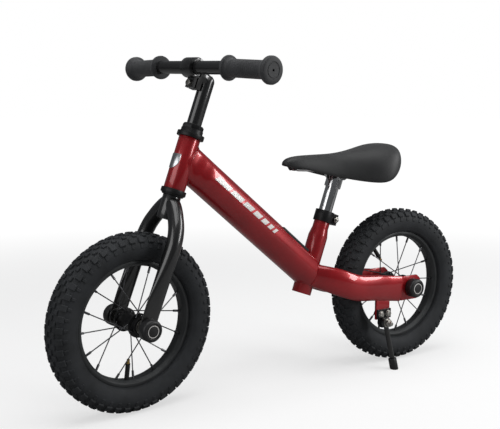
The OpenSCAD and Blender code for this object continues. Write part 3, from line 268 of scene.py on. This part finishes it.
def finishNode(node, material, width):
    bm = bmesh.new()
    bm.from_mesh(frame["nodes"][node].data)
    bmesh.ops.remove_doubles(bm, verts=bm.verts, dist=0.004 * mm)
    bmesh.ops.dissolve_limit(bm, angle_limit=math.radians(0.5), use_dissolve_boundaries=False,
                             verts=bm.verts, edges=bm.edges)
    if width:
        roundEdges(bm, width * mm)
    body = frame["nodes"][node]["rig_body"]
    return makePiece(node + "_finished", bm, material, body, (node,))


def closeEnds(bm):
    bmesh.ops.holes_fill(bm, edges=[e for e in bm.edges if e.is_boundary], sides=0)
    bmesh.ops.recalc_face_normals(bm, faces=bm.faces)


def growRing(bm, edges, ring):
    # extrudes a ring once, and gives its new edges and vertices in the old order
    made = bmesh.ops.extrude_edge_only(bm, edges=edges)["geom"]
    fresh = [g for g in made if isinstance(g, bmesh.types.BMVert)]
    grown = [min(fresh, key=lambda f, old=v: (f.co - old.co).length) for v in ring]
    return [g for g in made if isinstance(g, bmesh.types.BMEdge)], grown


def toRightSide(bm):
    bmesh.ops.scale(bm, vec=(1, -1, 1), verts=bm.verts)
    bmesh.ops.reverse_faces(bm, faces=bm.faces)


def joinInto(bm, other):
    spare = bpy.data.meshes.new("spare")
    other.to_mesh(spare)
    other.free()
    bm.from_mesh(spare)
    bpy.data.meshes.remove(spare)


def spinProfile(points, steps, closed=True):
    # points are (radius, height along z) in mm
    bm = bmesh.new()
    verts = [bm.verts.new((radius * mm, 0, height * mm)) for radius, height in points]
    pairs = list(zip(verts, verts[1:])) + ([(verts[-1], verts[0])] if closed else [])
    edges = [bm.edges.new(pair) for pair in pairs]
    bmesh.ops.spin(bm, geom=verts + edges, cent=(0, 0, 0), axis=(0, 0, 1), dvec=(0, 0, 0),
                   angle=math.tau, steps=steps, use_merge=True, use_duplicate=False)
    bmesh.ops.remove_doubles(bm, verts=bm.verts, dist=0.01 * mm)
    bmesh.ops.recalc_face_normals(bm, faces=bm.faces)
    return bm


def catmull(values, u):
    last = len(values) - 1
    i = min(int(u * last), last - 1)
    t = u * last - i
    four = [values[max(i - 1, 0)], values[i], values[i + 1], values[min(i + 2, last)]]
    return [0.5 * (2 * b + (c - a) * t + (2 * a - 5 * b + 4 * c - d) * t * t
                   + (3 * b - a - 3 * c + d) * t ** 3) for a, b, c, d in zip(*four)]


def bulge(value, power):
    return math.copysign(abs(value) ** power, value)


def sweepTube(stations, wide, steps, sides, power):
    # stations are (x, y, z, half width, half thickness) in mm; the width lies towards the wide direction
    bm = bmesh.new()
    ring = bmesh.ops.create_circle(bm, cap_ends=False, segments=sides, radius=1.0)["verts"]
    angles = [math.atan2(v.co.y, v.co.x) for v in ring]
    edges = list(bm.edges)
    for k in range(steps + 1):
        u = k / steps
        here = catmull(stations, u)
        on, back = catmull(stations, min(u + 0.005, 1))[:3], catmull(stations, max(u - 0.005, 0))[:3]
        ahead = (Vector(on) - Vector(back)).normalized()
        thin = wide.cross(ahead).normalized()
        broad = ahead.cross(thin)
        if k:
            edges, ring = growRing(bm, edges, ring)
        for v, angle in zip(ring, angles):
            v.co = (Vector(here[:3]) + broad * here[3] * bulge(math.cos(angle), power)
                    + thin * here[4] * bulge(math.sin(angle), power)) * mm
    closeEnds(bm)
    return bm


def cutAway(bm, point, normal):
    # keeps what is behind the plane, and closes the cut
    cut = bmesh.ops.bisect_plane(bm, geom=bm.verts[:] + bm.edges[:] + bm.faces[:], dist=1e-6, plane_co=point,
                                 plane_no=normal, clear_outer=True)["geom_cut"]
    rim = [g for g in cut if isinstance(g, bmesh.types.BMEdge)]
    bmesh.ops.holes_fill(bm, edges=[e for e in rim if e.is_boundary], sides=0)


def makeBead(name, points, radius, material, body, closed=True):
    # a round weld or bar along points in metres
    curve = bpy.data.curves.new(name, "CURVE")
    curve.dimensions = "3D"
    curve.bevel_depth = radius * mm
    curve.bevel_resolution = 3
    line = curve.splines.new("POLY")
    line.points.add(len(points) - 1)
    for spot, point in zip(line.points, points):
        spot.co = (*point, 1)
    line.use_cyclic_u = closed
    curve.use_fill_caps = not closed
    holder = bpy.data.objects.new(name + "Curve", curve)
    bpy.context.scene.collection.objects.link(holder)
    bpy.context.view_layer.update()
    mesh = bpy.data.meshes.new_from_object(holder)
    bpy.data.objects.remove(holder)
    bm = bmesh.new()
    bm.from_mesh(mesh)
    bpy.data.meshes.remove(mesh)
    bmesh.ops.remove_doubles(bm, verts=bm.verts, dist=0.005 * mm)
    bmesh.ops.recalc_face_normals(bm, faces=bm.faces)
    return makePiece(name, bm, material, body, (), 60)


# main tube, in mm; it runs on past both its ends before it is cut there
mainTube = {"half": 30.0, "headHalf": 18.5, "padSink": 7.0, "padEnd": 112.0, "stepRun": 8.0, "tail": 60.0,
            "past": 14.0, "rings": 90, "sides": 72}


def makeMainTube(sizes):
    half, headHalf, length = sizes["half"], sizes["headHalf"], mainLength / mm
    low, high = -sizes["tail"], length + sizes["past"]
    # place along the tube, half height and half width: round, then narrowed to the head tube
    stations = [(low, half, half), (length * 0.5, half, half), (length - 75, half, half),
                (length - 50, half, half - 1), (length - 32, half + 0.5, half - 5),
                (length - 16, half + 1, headHalf + 1.5), (high, half + 1, headHalf - 1)]
    roundSpans = 3
    bm = bmesh.new()
    ring = bmesh.ops.create_circle(bm, cap_ends=False, segments=sizes["sides"], radius=1.0)["verts"]
    angles = [math.atan2(v.co.y, v.co.x) for v in ring]
    edges = list(bm.edges)
    for k in range(sizes["rings"] + 1):
        z = low + (high - low) * k / sizes["rings"]
        # which station span holds z
        span = max(i for i in range(len(stations) - 1) if stations[i][0] <= z + 1e-6)
        a, b = stations[span], stations[span + 1]
        t = min(max((z - a[0]) / (b[0] - a[0]), 0), 1)
        t = t * t * (3 - 2 * t) if span >= roundSpans else t
        tall, broad = a[1] + (b[1] - a[1]) * t, a[2] + (b[2] - a[2]) * t
        if k:
            edges, ring = growRing(bm, edges, ring)
        # the flat for the footrest pad, with a rounded step at its upper end
        sink = min(max((sizes["padEnd"] - z) / sizes["stepRun"], 0), 1)
        floor = -(half - sizes["padSink"] * sink * sink * (3 - 2 * sink))
        for v, angle in zip(ring, angles):
            x = tall * math.cos(angle)
            if z < sizes["padEnd"]:
                x = max(x, floor)
            v.co = Vector((x, broad * math.sin(angle), z)) * mm
    closeEnds(bm)
    bmesh.ops.transform(bm, matrix=mainPlace, verts=bm.verts)
    cutAway(bm, seatFoot, seatPlace.to_3x3() @ Vector((-1, 0, 0)))
    cutAway(bm, steerFoot, yUnit.cross(steerAxis))
    roundEdges(bm, 1.2 * mm, 50)
    return makePiece("mainTube", bm, "redEnamel", "frame", ("main_tube",), 40)


makeMainTube(mainTube)

# weld between main tube and head tube, on the line where the two skins meet, in mm
headWeld = {"bead": 2.0, "tall": 31.2, "broad": 17.9, "rise": 0.6, "back": 60.0, "count": 96, "stride": 0.25}


def weldAtHead(sizes):
    points = []
    for i in range(sizes["count"]):
        angle = math.tau * i / sizes["count"]
        across = Vector((sizes["tall"] * math.cos(angle), sizes["broad"] * math.sin(angle), 0)) * mm
        start = mainPlace @ (across + Vector((0, 0, mainLength - sizes["back"] * mm)))
        for k in range(600):       # goes up the tube's side until it meets the head tube
            spot = start + mainWay * (k * sizes["stride"] * mm)
            off = spot - steerFoot
            off -= steerAxis * off.dot(steerAxis)
            if off.length <= (mainTube["headHalf"] + sizes["rise"]) * mm:
                break
        points.append(spot)
    return points


makeBead("headWeld", weldAtHead(headWeld), headWeld["bead"], "redEnamel", "frame")

# stays, in mm
stay = {"high": 50.0, "thick": 24.0, "away": 45.5, "end": 28.0, "endAway": 47.25, "seatTubeHalf": 18.25,
        "steps": 70, "sides": 48}


def stayStations(sizes):
    foot, end, up = seatFoot.x / mm, rearCentre.x / mm + sizes["end"], rearCentre.z / mm
    high, half, away = sizes["high"], sizes["thick"] / 2, sizes["away"]
    near = sizes["seatTubeHalf"] + 1
    # from beside the seat tube, out and down round the tyre, and straight back to the axle
    return [(foot + 2, near - 6, up + 49, high * 0.4, half - 1),
            (foot - 17, near - 0.5, up + 42.5, high * 0.43, half),
            (foot - 36, away - 15, up + 36, high * 0.47, half),
            (foot - 56, away - 6.5, up + 29, high * 0.5, half),
            (foot - 78, away - 1, up + 20.5, high * 0.5, half),
            (foot - 104, away + 0.5, up + 13, high * 0.5, half),
            (end + 62, away, up + 8.5, high * 0.5, half - 0.5),
            (end + 30, (away + 45) / 2, up + 4, high * 0.5, half - 3),
            (end, sizes["endAway"], up, high * 0.5, half - 6)]


def makeStay(side, name, node):
    bm = sweepTube(stayStations(stay), zUnit, stay["steps"], stay["sides"], 0.85)
    cutAway(bm, seatFoot, seatPlace.to_3x3() @ Vector((1, 0, 0)))
    roundEdges(bm, 1.5 * mm, 60)
    if side < 0:
        toRightSide(bm)
    return makePiece(name, bm, "redEnamel", "frame", (node,), 45)


makeStay(1, "leftStay", "left_stay")
makeStay(-1, "rightStay", "right_stay")
print("frame tubes made")

# fork legs, in mm, with heights from the axle
forkLeg = {"half": 13.0, "away": 47.5, "endHalf": 15.5, "endThick": 5.0, "crown": 180.5, "wheel": 152.5,
           "steps": 80, "sides": 40}


def legStations(sizes):
    crown, half, away, wheel = sizes["crown"], sizes["half"], sizes["away"], sizes["wheel"]
    end, thick, forward = sizes["endHalf"], sizes["endThick"] / 2, heights["forkOffset"]
    # out of the crown, over the tyre, down beside it, and flattened at the axle
    return [(0, 0, crown + 31, half, half), (0, 12, crown + 24.5, half, half),
            (0, 22, crown + 14.5, half, half), (0, away - 16.5, crown + 2.5, half, half),
            (0, away - 7.5, crown - 12.5, half, half), (0, away - 2, crown - 30.5, half, half),
            (0.6, away, crown - 50, half, half), (1.5, away, wheel * 0.66, half + 0.4, half - 1.5),
            (2.1, away, wheel * 0.47, half + 1.5, half - 5), (2.7, away, wheel * 0.3, end, thick + 1.5),
            (forward, away, wheel * 0.16, end, thick), (forward, away, 0, end, thick)]


def makeForkLeg(side, name, node):
    bm = sweepTube(legStations(forkLeg), xUnit, forkLeg["steps"], forkLeg["sides"], 0.92)
    # rounded end round the axle
    endPlace = Matrix.Translation(Vector((heights["forkOffset"], forkLeg["away"], 0)) * mm)
    disc = bmesh.ops.create_cone(bm, cap_ends=True, segments=48, radius1=forkLeg["endHalf"] * mm,
                                 radius2=forkLeg["endHalf"] * mm, depth=forkLeg["endThick"] * mm,
                                 matrix=endPlace @ Matrix.Rotation(math.pi / 2, 4, "X"))["verts"]
    rims = [e for v in disc for e in v.link_edges if e.calc_face_angle(0) > 1]
    roundEdges(bm, 1.0 * mm, edges=eachOnce(rims))
    if side < 0:
        toRightSide(bm)
    return makePiece(name, bm, "blackEnamel", "fork", (node,), 45, steerPlace)


makeForkLeg(1, "leftForkLeg", "left_fork_leg")
makeForkLeg(-1, "rightForkLeg", "right_fork_leg")
print("fork legs made")

# tyres, in mm
tyre = {"outer": 152.5, "width": 52.0, "knob": 3.2, "rimEdge": 106.5, "beadY": 11.58, "turns": 50,
        "steps": 120}
# each row of knobs: size (height, length round the tyre, width across), radius, distance across,
# lean in degrees and how far it is shifted, as a share of the pitch
knobRows = [((4.8, 9.6, 8.0), 150.0, 4.8, 2, 0), ((5.2, 8.8, 6.6), 148.0, 13.0, 20, 0.5),
            ((6.6, 11.4, 11.5), 141.8, 20.2, 48, 0), ((3.0, 6.0, 9.0), 133.5, 24.4, 76, 0)]


def tyreProfile(sizes):
    casing, halfWidth = sizes["outer"] - sizes["knob"], sizes["width"] / 2 - 0.6
    wide = sizes["rimEdge"] + 0.5 * (sizes["outer"] - sizes["rimEdge"])
    points = []
    for i in range(13):            # crown to the widest point
        t = math.radians(90 - 90 * i / 12)
        points.append((wide + (casing - wide) * math.sin(t), 6 + (halfWidth - 6) * math.cos(t)))
    for i in range(1, 13):         # widest point in to the rim, with a raised band near the rim
        t = math.radians(90 * i / 12)
        points.append((wide - (wide - sizes["rimEdge"] - 0.8) * math.sin(t),
                       sizes["beadY"] + 1.2 + (halfWidth - sizes["beadY"] - 1.2) * math.cos(t)
                       + (0.7 if 8 <= i <= 10 else 0)))
    points += [(sizes["rimEdge"] - 4, sizes["beadY"]), (sizes["rimEdge"] - 4, sizes["beadY"] - 3),
               (wide, halfWidth - 4), (casing - 4, 8)]
    return points + [(r, -y) for r, y in reversed(points)]


def addKnob(bm, size, radius, across, lean, turn, edge=0.7):
    # lean tips the knob over the shoulder
    cube = bmesh.ops.create_cube(bm, size=1.0)["verts"]
    bmesh.ops.scale(bm, vec=[s * mm for s in size], verts=cube)
    top = [v for v in cube if v.co.x > 0]
    bmesh.ops.scale(bm, vec=(1, 0.86, 0.88), verts=top)
    edges = eachOnce(e for v in top for e in v.link_edges)
    made = bmesh.ops.bevel(bm, geom=edges, offset=edge * mm, affect="EDGES", segments=1, profile=0.5,
                           material=-1, clamp_overlap=True)
    verts = eachOnce([v for f in made["faces"] for v in f.verts] + [v for v in cube if v.is_valid])
    place = (Matrix.Rotation(math.radians(turn), 4, "Z") @ Matrix.Translation((radius * mm, 0, across * mm))
             @ Matrix.Rotation(math.radians(-lean), 4, "Y"))
    bmesh.ops.transform(bm, matrix=place, verts=verts)


def makeTyre(name, node, body, place):
    bm = spinProfile(tyreProfile(tyre), tyre["steps"])
    knobs = bmesh.new()
    pitch = 360 / tyre["turns"]
    for side in (-1, 1):
        shift = 0 if side > 0 else pitch / 2
        for size, radius, across, lean, share in knobRows:
            addKnob(knobs, size, radius, side * across, side * lean, shift + pitch * share)
    bmesh.ops.recalc_face_normals(knobs, faces=knobs.faces)
    bmesh.ops.spin(knobs, geom=knobs.verts[:] + knobs.edges[:] + knobs.faces[:], cent=(0, 0, 0),
                   axis=(0, 0, 1), dvec=(0, 0, 0), angle=math.radians(360 - pitch), steps=tyre["turns"] - 1,
                   use_merge=False, use_duplicate=True)
    joinInto(bm, knobs)
    bmesh.ops.transform(bm, matrix=place, verts=bm.verts)
    bmesh.ops.recalc_face_normals(bm, faces=bm.faces)
    return makePiece(name, bm, "tyreRubber", body, (node,), 30)


makeTyre("frontTyre", "front_tyre", "front_wheel", frontWheelPlace)
makeTyre("rearTyre", "rear_tyre", "rear_wheel", rearWheelPlace)
print("tyres made")

# grips, in mm
grip = {"end": 110.92, "length": 103.0, "sleeve": 14.75, "inner": 20.5, "outer": 22.0, "bore": 11.2,
        "straight": 88.0, "sweep": 5.0, "grooves": 16, "grooveSink": 0.45}


def gripProfile(sizes):
    end, start = sizes["end"], sizes["end"] - sizes["length"]
    inner, sleeve, outer = sizes["inner"], sizes["sleeve"], sizes["outer"]
    points = [(sizes["bore"], start), (inner - 3, start), (inner - 1, start + 0.6), (inner, start + 2),
              (inner, start + 4), (inner - 0.8, start + 5.6), (inner - 3, start + 6.6),
              (sleeve + 1.2, start + 8)]
    grooves, first, last = sizes["grooves"], start + 11, end - 20
    floor, run = sleeve - sizes["grooveSink"], (last - first) / grooves
    for i in range(grooves):       # shallow finger ribs
        z = first + (last - first) * i / grooves
        points += [(sleeve, z), (sleeve, z + run * 0.62), (floor, z + run * 0.74), (floor, z + run * 0.9)]
    points += [(sleeve, last), (sleeve + 0.6, end - 15), (outer - 4, end - 11.5), (outer - 1, end - 9.5),
               (outer, end - 7.5), (outer, end - 3.2), (outer - 0.9, end - 1.2), (outer - 3, end),
               (13.4, end), (12.9, end - 0.8), (11.5, end - 0.8), (11, end), (2.4, end), (2.0, end - 0.5),
               (2.0, end - 3.6), (sizes["bore"], end - 3.7)]
    return points


barPlace = steerPlace @ Matrix.Translation(Vector((heights["barForward"], 0, heights["bar"])) * mm)


def makeGrip(side, name, node):
    bm = spinProfile(gripProfile(grip), 56)
    turn = (Matrix.Translation((0, grip["straight"] * mm, 0))
            @ Matrix.Rotation(math.radians(grip["sweep"]), 4, "Z") @ Matrix.Rotation(-math.pi / 2, 4, "X"))
    bmesh.ops.transform(bm, matrix=turn, verts=bm.verts)
    if side < 0:
        toRightSide(bm)
    return makePiece(name, bm, "gripRubber", "handlebar", (node,), 32, barPlace)


makeGrip(1, "leftGrip", "left_grip")
makeGrip(-1, "rightGrip", "right_grip")
print("grips made")

# saddle
saddle = {"length": 256.0, "halfWidth": 66.0, "round": 20, "skirt": 7.0, "depth": 15.0, "nose": 0.484}
# each section's share of length and of half width, and its crown and rim above the pivot in mm, nose first
saddleLine = [(0.0, 0.05, 23.5, 20), (0.004, 0.1, 25.5, 19), (0.03, 0.2, 31.8, 16.3), (0.1, 0.27, 35.3, 13.3),
              (0.19, 0.3, 36.3, 8.3), (0.31, 0.35, 36.8, 0.3), (0.445, 0.44, 37.3, -7.7),
              (0.58, 0.62, 41.3, -14.7), (0.7, 0.84, 47.3, -19.2), (0.78, 0.95, 51.8, -19.2),
              (0.84, 0.97, 54, -13), (0.89, 0.93, 54.6, -2), (0.93, 0.84, 54, 9), (0.96, 0.72, 52.4, 18.5),
              (0.982, 0.55, 49, 26), (0.99, 0.3, 45, 32)]


def saddleArc(x, half, low, tall, turns):
    # points of one arch of the section, from one side over to the other
    return [(x, half * bulge(math.cos(t), 0.8), low + tall * bulge(math.sin(t), 0.72)) for t in turns]


def makeSaddle(sizes):
    bm = bmesh.new()
    around = sizes["round"]
    rows = []
    for share, part, crown, rim in saddleLine:
        half = part * sizes["halfWidth"]
        skirt = min(sizes["skirt"], half * 0.5)
        roof = crown - min(sizes["depth"], (crown - rim) * 0.55)
        x = (sizes["nose"] - share) * sizes["length"]
        turns = [math.pi * i / around for i in range(around + 1)]
        skin = saddleArc(x, half, rim, crown - rim, turns)
        lining = saddleArc(x, half - skirt, rim + 0.6, roof - rim, turns[::-2])
        rows.append([Vector(p) * mm for p in skin + lining])
    count = len(rows[0])
    ring = [bm.verts.new(p) for p in rows[0]]
    edges = [bm.edges.new((ring[i], ring[(i + 1) % count])) for i in range(count)]
    for row in rows[1:]:
        edges, ring = growRing(bm, edges, ring)
        for v, p in zip(ring, row):
            v.co = p
    closeEnds(bm)
    piece = makePiece("saddleCushion", bm, "saddleVinyl", "saddle", ("saddle_cover",), 80,
                      Matrix.Translation(saddlePivot), 2)
    return piece


makeSaddle(saddle)

# rails, each bent from one bar; corners are from the saddle's pivot in mm
rail = {"radius": 3.5, "bend": 8.0, "bendPoints": 7}
railPoints = [(105.0, 6, 19), (98.6, 7.5, 11), (20.5, 18, 7.3), (-20.5, 18, 7.3), (-69.1, 28, 7.3),
              (-87.0, 30, 27.3)]


def makeRail(side, name):
    points = []
    raw = [Vector((x, side * y, z)) for x, y, z in railPoints]
    for i, point in enumerate(raw):
        if 0 < i < len(raw) - 1:
            back, on = (raw[i - 1] - point), (raw[i + 1] - point)
            reach = min(rail["bend"], back.length * 0.4, on.length * 0.4)
            a, b = point + back.normalized() * reach, point + on.normalized() * reach
            for k in range(rail["bendPoints"]):
                t = k / (rail["bendPoints"] - 1)
                points.append(a * (1 - t) ** 2 + point * 2 * t * (1 - t) + b * t * t)
        else:
            points.append(point)
    spots = [saddlePivot + p * mm for p in points]
    return makeBead(name, spots, rail["radius"], "chrome", "saddle", False)


leftRail, rightRail = makeRail(1, "leftRail"), makeRail(-1, "rightRail")
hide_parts("saddle_rails")
print("saddle made")

# printed marks: plain slanted bars, in mm, and turned up from the tube's side by an angle
decal = {"from": 285.0, "bars": (34, 28, 22, 17, 13, 9, 6), "gap": 5.0, "tall": 10.0, "slant": 6.0,
         "up": 14.0, "lift": 0.6, "sink": 1.0}


def addBar(bm, start, length, sizes, side):
    # a small slab wrapped on the tube, its lower face inside the skin; start and length along the tube in mm
    grid = bmesh.ops.create_grid(bm, x_segments=10, y_segments=8, size=0.5)["verts"]
    faces = eachOnce(face for v in grid for face in v.link_faces)
    grown = bmesh.ops.extrude_face_region(bm, geom=faces, use_keep_orig=True)["geom"]
    raised = [item for item in grown if isinstance(item, bmesh.types.BMVert)]
    for verts, lift in ((grid, -sizes["sink"]), (raised, sizes["lift"])):
        radius = mainTube["half"] + lift
        for v in verts:
            along = start - (v.co.x + 0.5) * length - v.co.y * sizes["slant"]
            angle = math.radians(180 - side * (90 - sizes["up"])) + side * v.co.y * sizes["tall"] / radius
            v.co = Vector((radius * math.cos(angle), radius * math.sin(angle), along)) * mm


def makeDecal(side, name):
    bm = bmesh.new()
    start = decal["from"]
    for length in decal["bars"]:
        addBar(bm, start, length, decal, side)
        start -= length + decal["gap"]
    bmesh.ops.recalc_face_normals(bm, faces=bm.faces)
    return makePiece(name, bm, "whiteInk", "frame", (), 60, mainPlace)


makeDecal(1, "leftStripes")
makeDecal(-1, "rightStripes")

# seat post, a plain tube; heights are from the foot of the seat tube in mm
seatPost = {"outer": 12.7, "wall": 2.0, "low": 85.0, "high": 226.0, "edge": 0.6}


def makeSeatPost(sizes):
    outer, low, high, edge = sizes["outer"], sizes["low"], sizes["high"], sizes["edge"]
    inner = outer - sizes["wall"]
    bm = spinProfile([(inner, low), (outer - edge, low), (outer, low + edge), (outer, high - edge),
                      (outer - edge, high), (inner, high)], 64)
    body = frame["nodes"]["seat_post"]["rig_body"]
    return makePiece("seatPost", bm, "chrome", body, ("seat_post",), 35, seatPlace)


makeSeatPost(seatPost)

# the rest keep their CAD shape, with rounded edges: finish, slot and width of the rounding in mm
finished = {
    "head_tube": ("redEnamel", "frame_paint", 0.6), "seat_tube": ("redEnamel", "frame_paint", 0.8),
    "dropouts": ("redEnamel", "frame_paint", 1.2), "kickstand_tab": ("redEnamel", "frame_paint", 0.8),
    "head_badge": ("badgeAluminium", "badge_metal", 0.3), "footrest_pad": ("blackNylon", "pad_rubber", 0.5),
    "seat_clamp": ("blackSteel", "black_steel", 0.7), "upper_cup": ("blackSteel", "black_steel", 0.7),
    "lower_cup": ("blackSteel", "black_steel", 0.7), "crown_race": ("blackSteel", "black_steel", 0.4),
    "top_race": ("blackSteel", "black_steel", 0.6), "locknut": ("blackSteel", "black_steel", 0.6),
    "steerer": ("blackEnamel", "black_paint", 0.6), "stem": ("blackEnamel", "black_paint", 1.0),
    "handlebar": ("blackEnamel", "black_paint", 0.0), "stem_bolt": ("zincPlate", "zinc_steel", 0.4),
    "bar_clamp_bolt": ("zincPlate", "zinc_steel", 0.4), "seat_clamp_bolt": ("zincPlate", "zinc_steel", 0.4),
    "saddle_clamp": ("chrome", "bright_steel", 0.0), "saddle_clamp_bolt": ("zincPlate", "zinc_steel", 0.5),
    "rail_washers": ("chrome", "bright_steel", 0.0), "saddle_base": ("blackNylon", "black_plastic", 0.0),
    "kickstand_bracket": ("blackSteel", "black_steel", 0.6),
    "kickstand_bolts": ("zincPlate", "zinc_steel", 0.4), "kickstand_pivot": ("zincPlate", "zinc_steel", 0.4),
    "kickstand_leg": ("blackEnamel", "black_steel", 0.8),
    "kickstand_foot": ("blackNylon", "black_plastic", 1.0),
    "front_rim": ("blackRim", "black_steel", 0.3), "rear_rim": ("blackRim", "black_steel", 0.3),
    "front_hub": ("blackSteel", "black_steel", 0.5), "rear_hub": ("blackSteel", "black_steel", 0.5),
    "front_spokes": ("spokeWire", "zinc_steel", 0.0), "rear_spokes": ("spokeWire", "zinc_steel", 0.0),
    "front_cones": ("zincPlate", "zinc_steel", 0.3), "rear_cones": ("zincPlate", "zinc_steel", 0.3),
    "front_nut_caps": ("blackNylon", "black_plastic", 0.6),
    "rear_nut_caps": ("blackNylon", "black_plastic", 0.6),
}
for node, (finish, slotName, width) in finished.items():
    finishNode(node, finish, width)
print("edges rounded on", len(finished), "nodes")

# parts that stay inside others keep their CAD mesh with the right finish
inside = {"headset_balls": "chrome", "front_hub_balls": "chrome", "rear_hub_balls": "chrome",
          "stem_wedge": "zincPlate", "kickstand_washer": "zincPlate", "front_inner_tube": "butyl",
          "rear_inner_tube": "butyl", "front_axle": "zincPlate", "rear_axle": "zincPlate",
          "front_axle_nuts": "zincPlate", "rear_axle_nuts": "zincPlate"}
for node, finish in inside.items():
    holder = frame["nodes"][node]
    holder.data.materials.clear()
    holder.data.materials.append(materials[finish])

# valve tips: how far each sits from the axle, and its profile as radius and height, in mm
valveOut = 64.5
valveTip = [(0.0, -2.0), (2.4, -2.0), (2.7, -1.2), (2.7, 3.5), (3.3, 3.7), (3.3, 6.0), (0.0, 6.0)]


def makeValveTip(name, turn, body, place):
    bm = spinProfile(valveTip, 20, False)
    along = (place @ Matrix.Rotation(math.radians(-turn), 4, "Z")
             @ Matrix.Translation((valveOut * mm, 0, 0)) @ Matrix.Rotation(math.pi / 2, 4, "Y"))
    return makePiece(name, bm, "brass", body, (), 35, along)


makeValveTip("frontValveTip", -104, "front_wheel", frontWheelPlace)
makeValveTip("rearValveTip", 53, "rear_wheel", rearWheelPlace)
print("small parts made")

# printed ring on the end of each nut cap, in mm
capRing = {"inner": 9.2, "outer": 10.3, "end": 67.5, "lift": 0.12, "sink": 0.3}


def makeCapRings(name, body, place):
    bm = bmesh.new()
    inner, outer = capRing["inner"], capRing["outer"]
    for side in (-1, 1):
        low, high = side * (capRing["end"] - capRing["sink"]), side * (capRing["end"] + capRing["lift"])
        joinInto(bm, spinProfile([(inner, low), (outer, low), (outer, high), (inner, high)], 48))
    bmesh.ops.transform(bm, matrix=place, verts=bm.verts)
    bmesh.ops.recalc_face_normals(bm, faces=bm.faces)
    return makePiece(name, bm, "whiteInk", body, (), 35)


makeCapRings("frontCapRings", "fork", frontWheelPlace)
makeCapRings("rearCapRings", "frame", rearWheelPlace)
print("cap rings made")

# floor in metres: matt paper near the bike that fades to plain white
paper = {"radius": 30.0, "fadeFrom": 0.8, "fadeTo": 2.4, "matt": "#FAFAFA", "below": "#9A9A9A", "glow": 1.03}


def makeFloor(sizes):
    bm = bmesh.new()
    bmesh.ops.create_circle(bm, cap_ends=True, segments=96, radius=sizes["radius"])
    mesh = bpy.data.meshes.new("floor")
    bm.to_mesh(mesh)
    bm.free()
    floor = bpy.data.objects.new("floor", mesh)
    bpy.context.scene.collection.objects.link(floor)
    tree, place = startMaterial("paperFloor")
    away = addNode(tree, "ShaderNodeVectorMath", {"operation": "LENGTH"}, {0: place})
    fade = addNode(tree, "ShaderNodeMapRange",
                   {"From Min": sizes["fadeFrom"], "From Max": sizes["fadeTo"], "To Min": 0.58, "To Max": 1.0,
                    "interpolation_type": "SMOOTHSTEP"}, {"Value": away.outputs["Value"]})
    matt = addNode(tree, "ShaderNodeBsdfDiffuse", {"Color": hexColour(sizes["matt"])})
    glow = addNode(tree, "ShaderNodeEmission", {"Color": (1, 1, 1, 1), "Strength": sizes["glow"]})
    sheet = addNode(tree, "ShaderNodeMixShader", {}, {0: fade.outputs["Result"], 1: matt.outputs["BSDF"],
                                                      2: glow.outputs["Emission"]})
    # a darker paper lights the underside, so that blacks stay black
    below = addNode(tree, "ShaderNodeBsdfDiffuse", {"Color": hexColour(sizes["below"])})
    seen = addNode(tree, "ShaderNodeLightPath").outputs["Is Camera Ray"]
    both = addNode(tree, "ShaderNodeMixShader", {}, {0: seen, 1: below.outputs["BSDF"],
                                                     2: sheet.outputs["Shader"]})
    addNode(tree, "ShaderNodeOutputMaterial", {}, {"Surface": both.outputs["Shader"]})
    mesh.materials.append(materials["paperFloor"])


makeFloor(paper)

# softboxes: where each hangs and what it faces, its size in metres and its power in watts
softboxes = {"overhead": ((0.1, 0.3, 2.6), (0, 0, 0.2), (2.4, 2.4), 42),
             "rearStrip": ((-1.5, 1.1, 1.0), (0, 0, 0.35), (0.35, 1.8), 22),
             "frontFill": ((1.9, 0.4, 1.0), (0, 0, 0.3), (0.9, 1.6), 10)}


def addSoftbox(name, spot, target, size, power):
    light = bpy.data.lights.new(name, "AREA")
    light.shape = "RECTANGLE"
    light.size, light.size_y = size
    light.energy = power
    holder = bpy.data.objects.new(name, light)
    holder.location = spot
    holder.rotation_euler = (Vector(target) - Vector(spot)).to_track_quat("-Z", "Z").to_euler()
    bpy.context.scene.collection.objects.link(holder)


# room: white where the camera looks, and dim where it only lights the bike
world = bpy.data.worlds.new("studio")
bpy.context.scene.world = world
bpy.context.scene.view_settings.view_transform = "Standard"   # white paper stays white
world.use_nodes = True
worldTree = world.node_tree
worldTree.nodes.clear()
seen = addNode(worldTree, "ShaderNodeLightPath").outputs["Is Camera Ray"]
backdrop = addNode(worldTree, "ShaderNodeBackground", {"Color": (1, 1, 1, 1), "Strength": 1.0})
room = addNode(worldTree, "ShaderNodeBackground", {"Color": (0.93, 0.96, 1, 1), "Strength": 0.12})
blendSky = addNode(worldTree, "ShaderNodeMixShader", {}, {0: seen, 1: room.outputs[0],
                                                          2: backdrop.outputs[0]})
addNode(worldTree, "ShaderNodeOutputWorld", {}, {"Surface": blendSky.outputs[0]})

for name, (spot, target, size, power) in softboxes.items():
    addSoftbox(name, spot, target, size, power)

# camera, its place in metres and its angles in degrees
viewpoint = {"place": (0.8921, 1.2795, 0.5117), "yaw": 56.89, "pitch": 7.27, "lens": 62.09, "sensor": 36.0}
camera = bpy.data.cameras.new("camera")
camera.sensor_width = viewpoint["sensor"]
camera.lens = viewpoint["lens"]
cameraHolder = bpy.data.objects.new("camera", camera)
bpy.context.scene.collection.objects.link(cameraHolder)
yaw, pitch = math.radians(viewpoint["yaw"]), math.radians(viewpoint["pitch"])
view = Vector((-math.cos(yaw) * math.cos(pitch), -math.sin(yaw) * math.cos(pitch), -math.sin(pitch)))
cameraHolder.location = viewpoint["place"]
cameraHolder.rotation_euler = view.to_track_quat("-Z", "Y").to_euler()
bpy.context.scene.camera = cameraHolder
print("stage set")
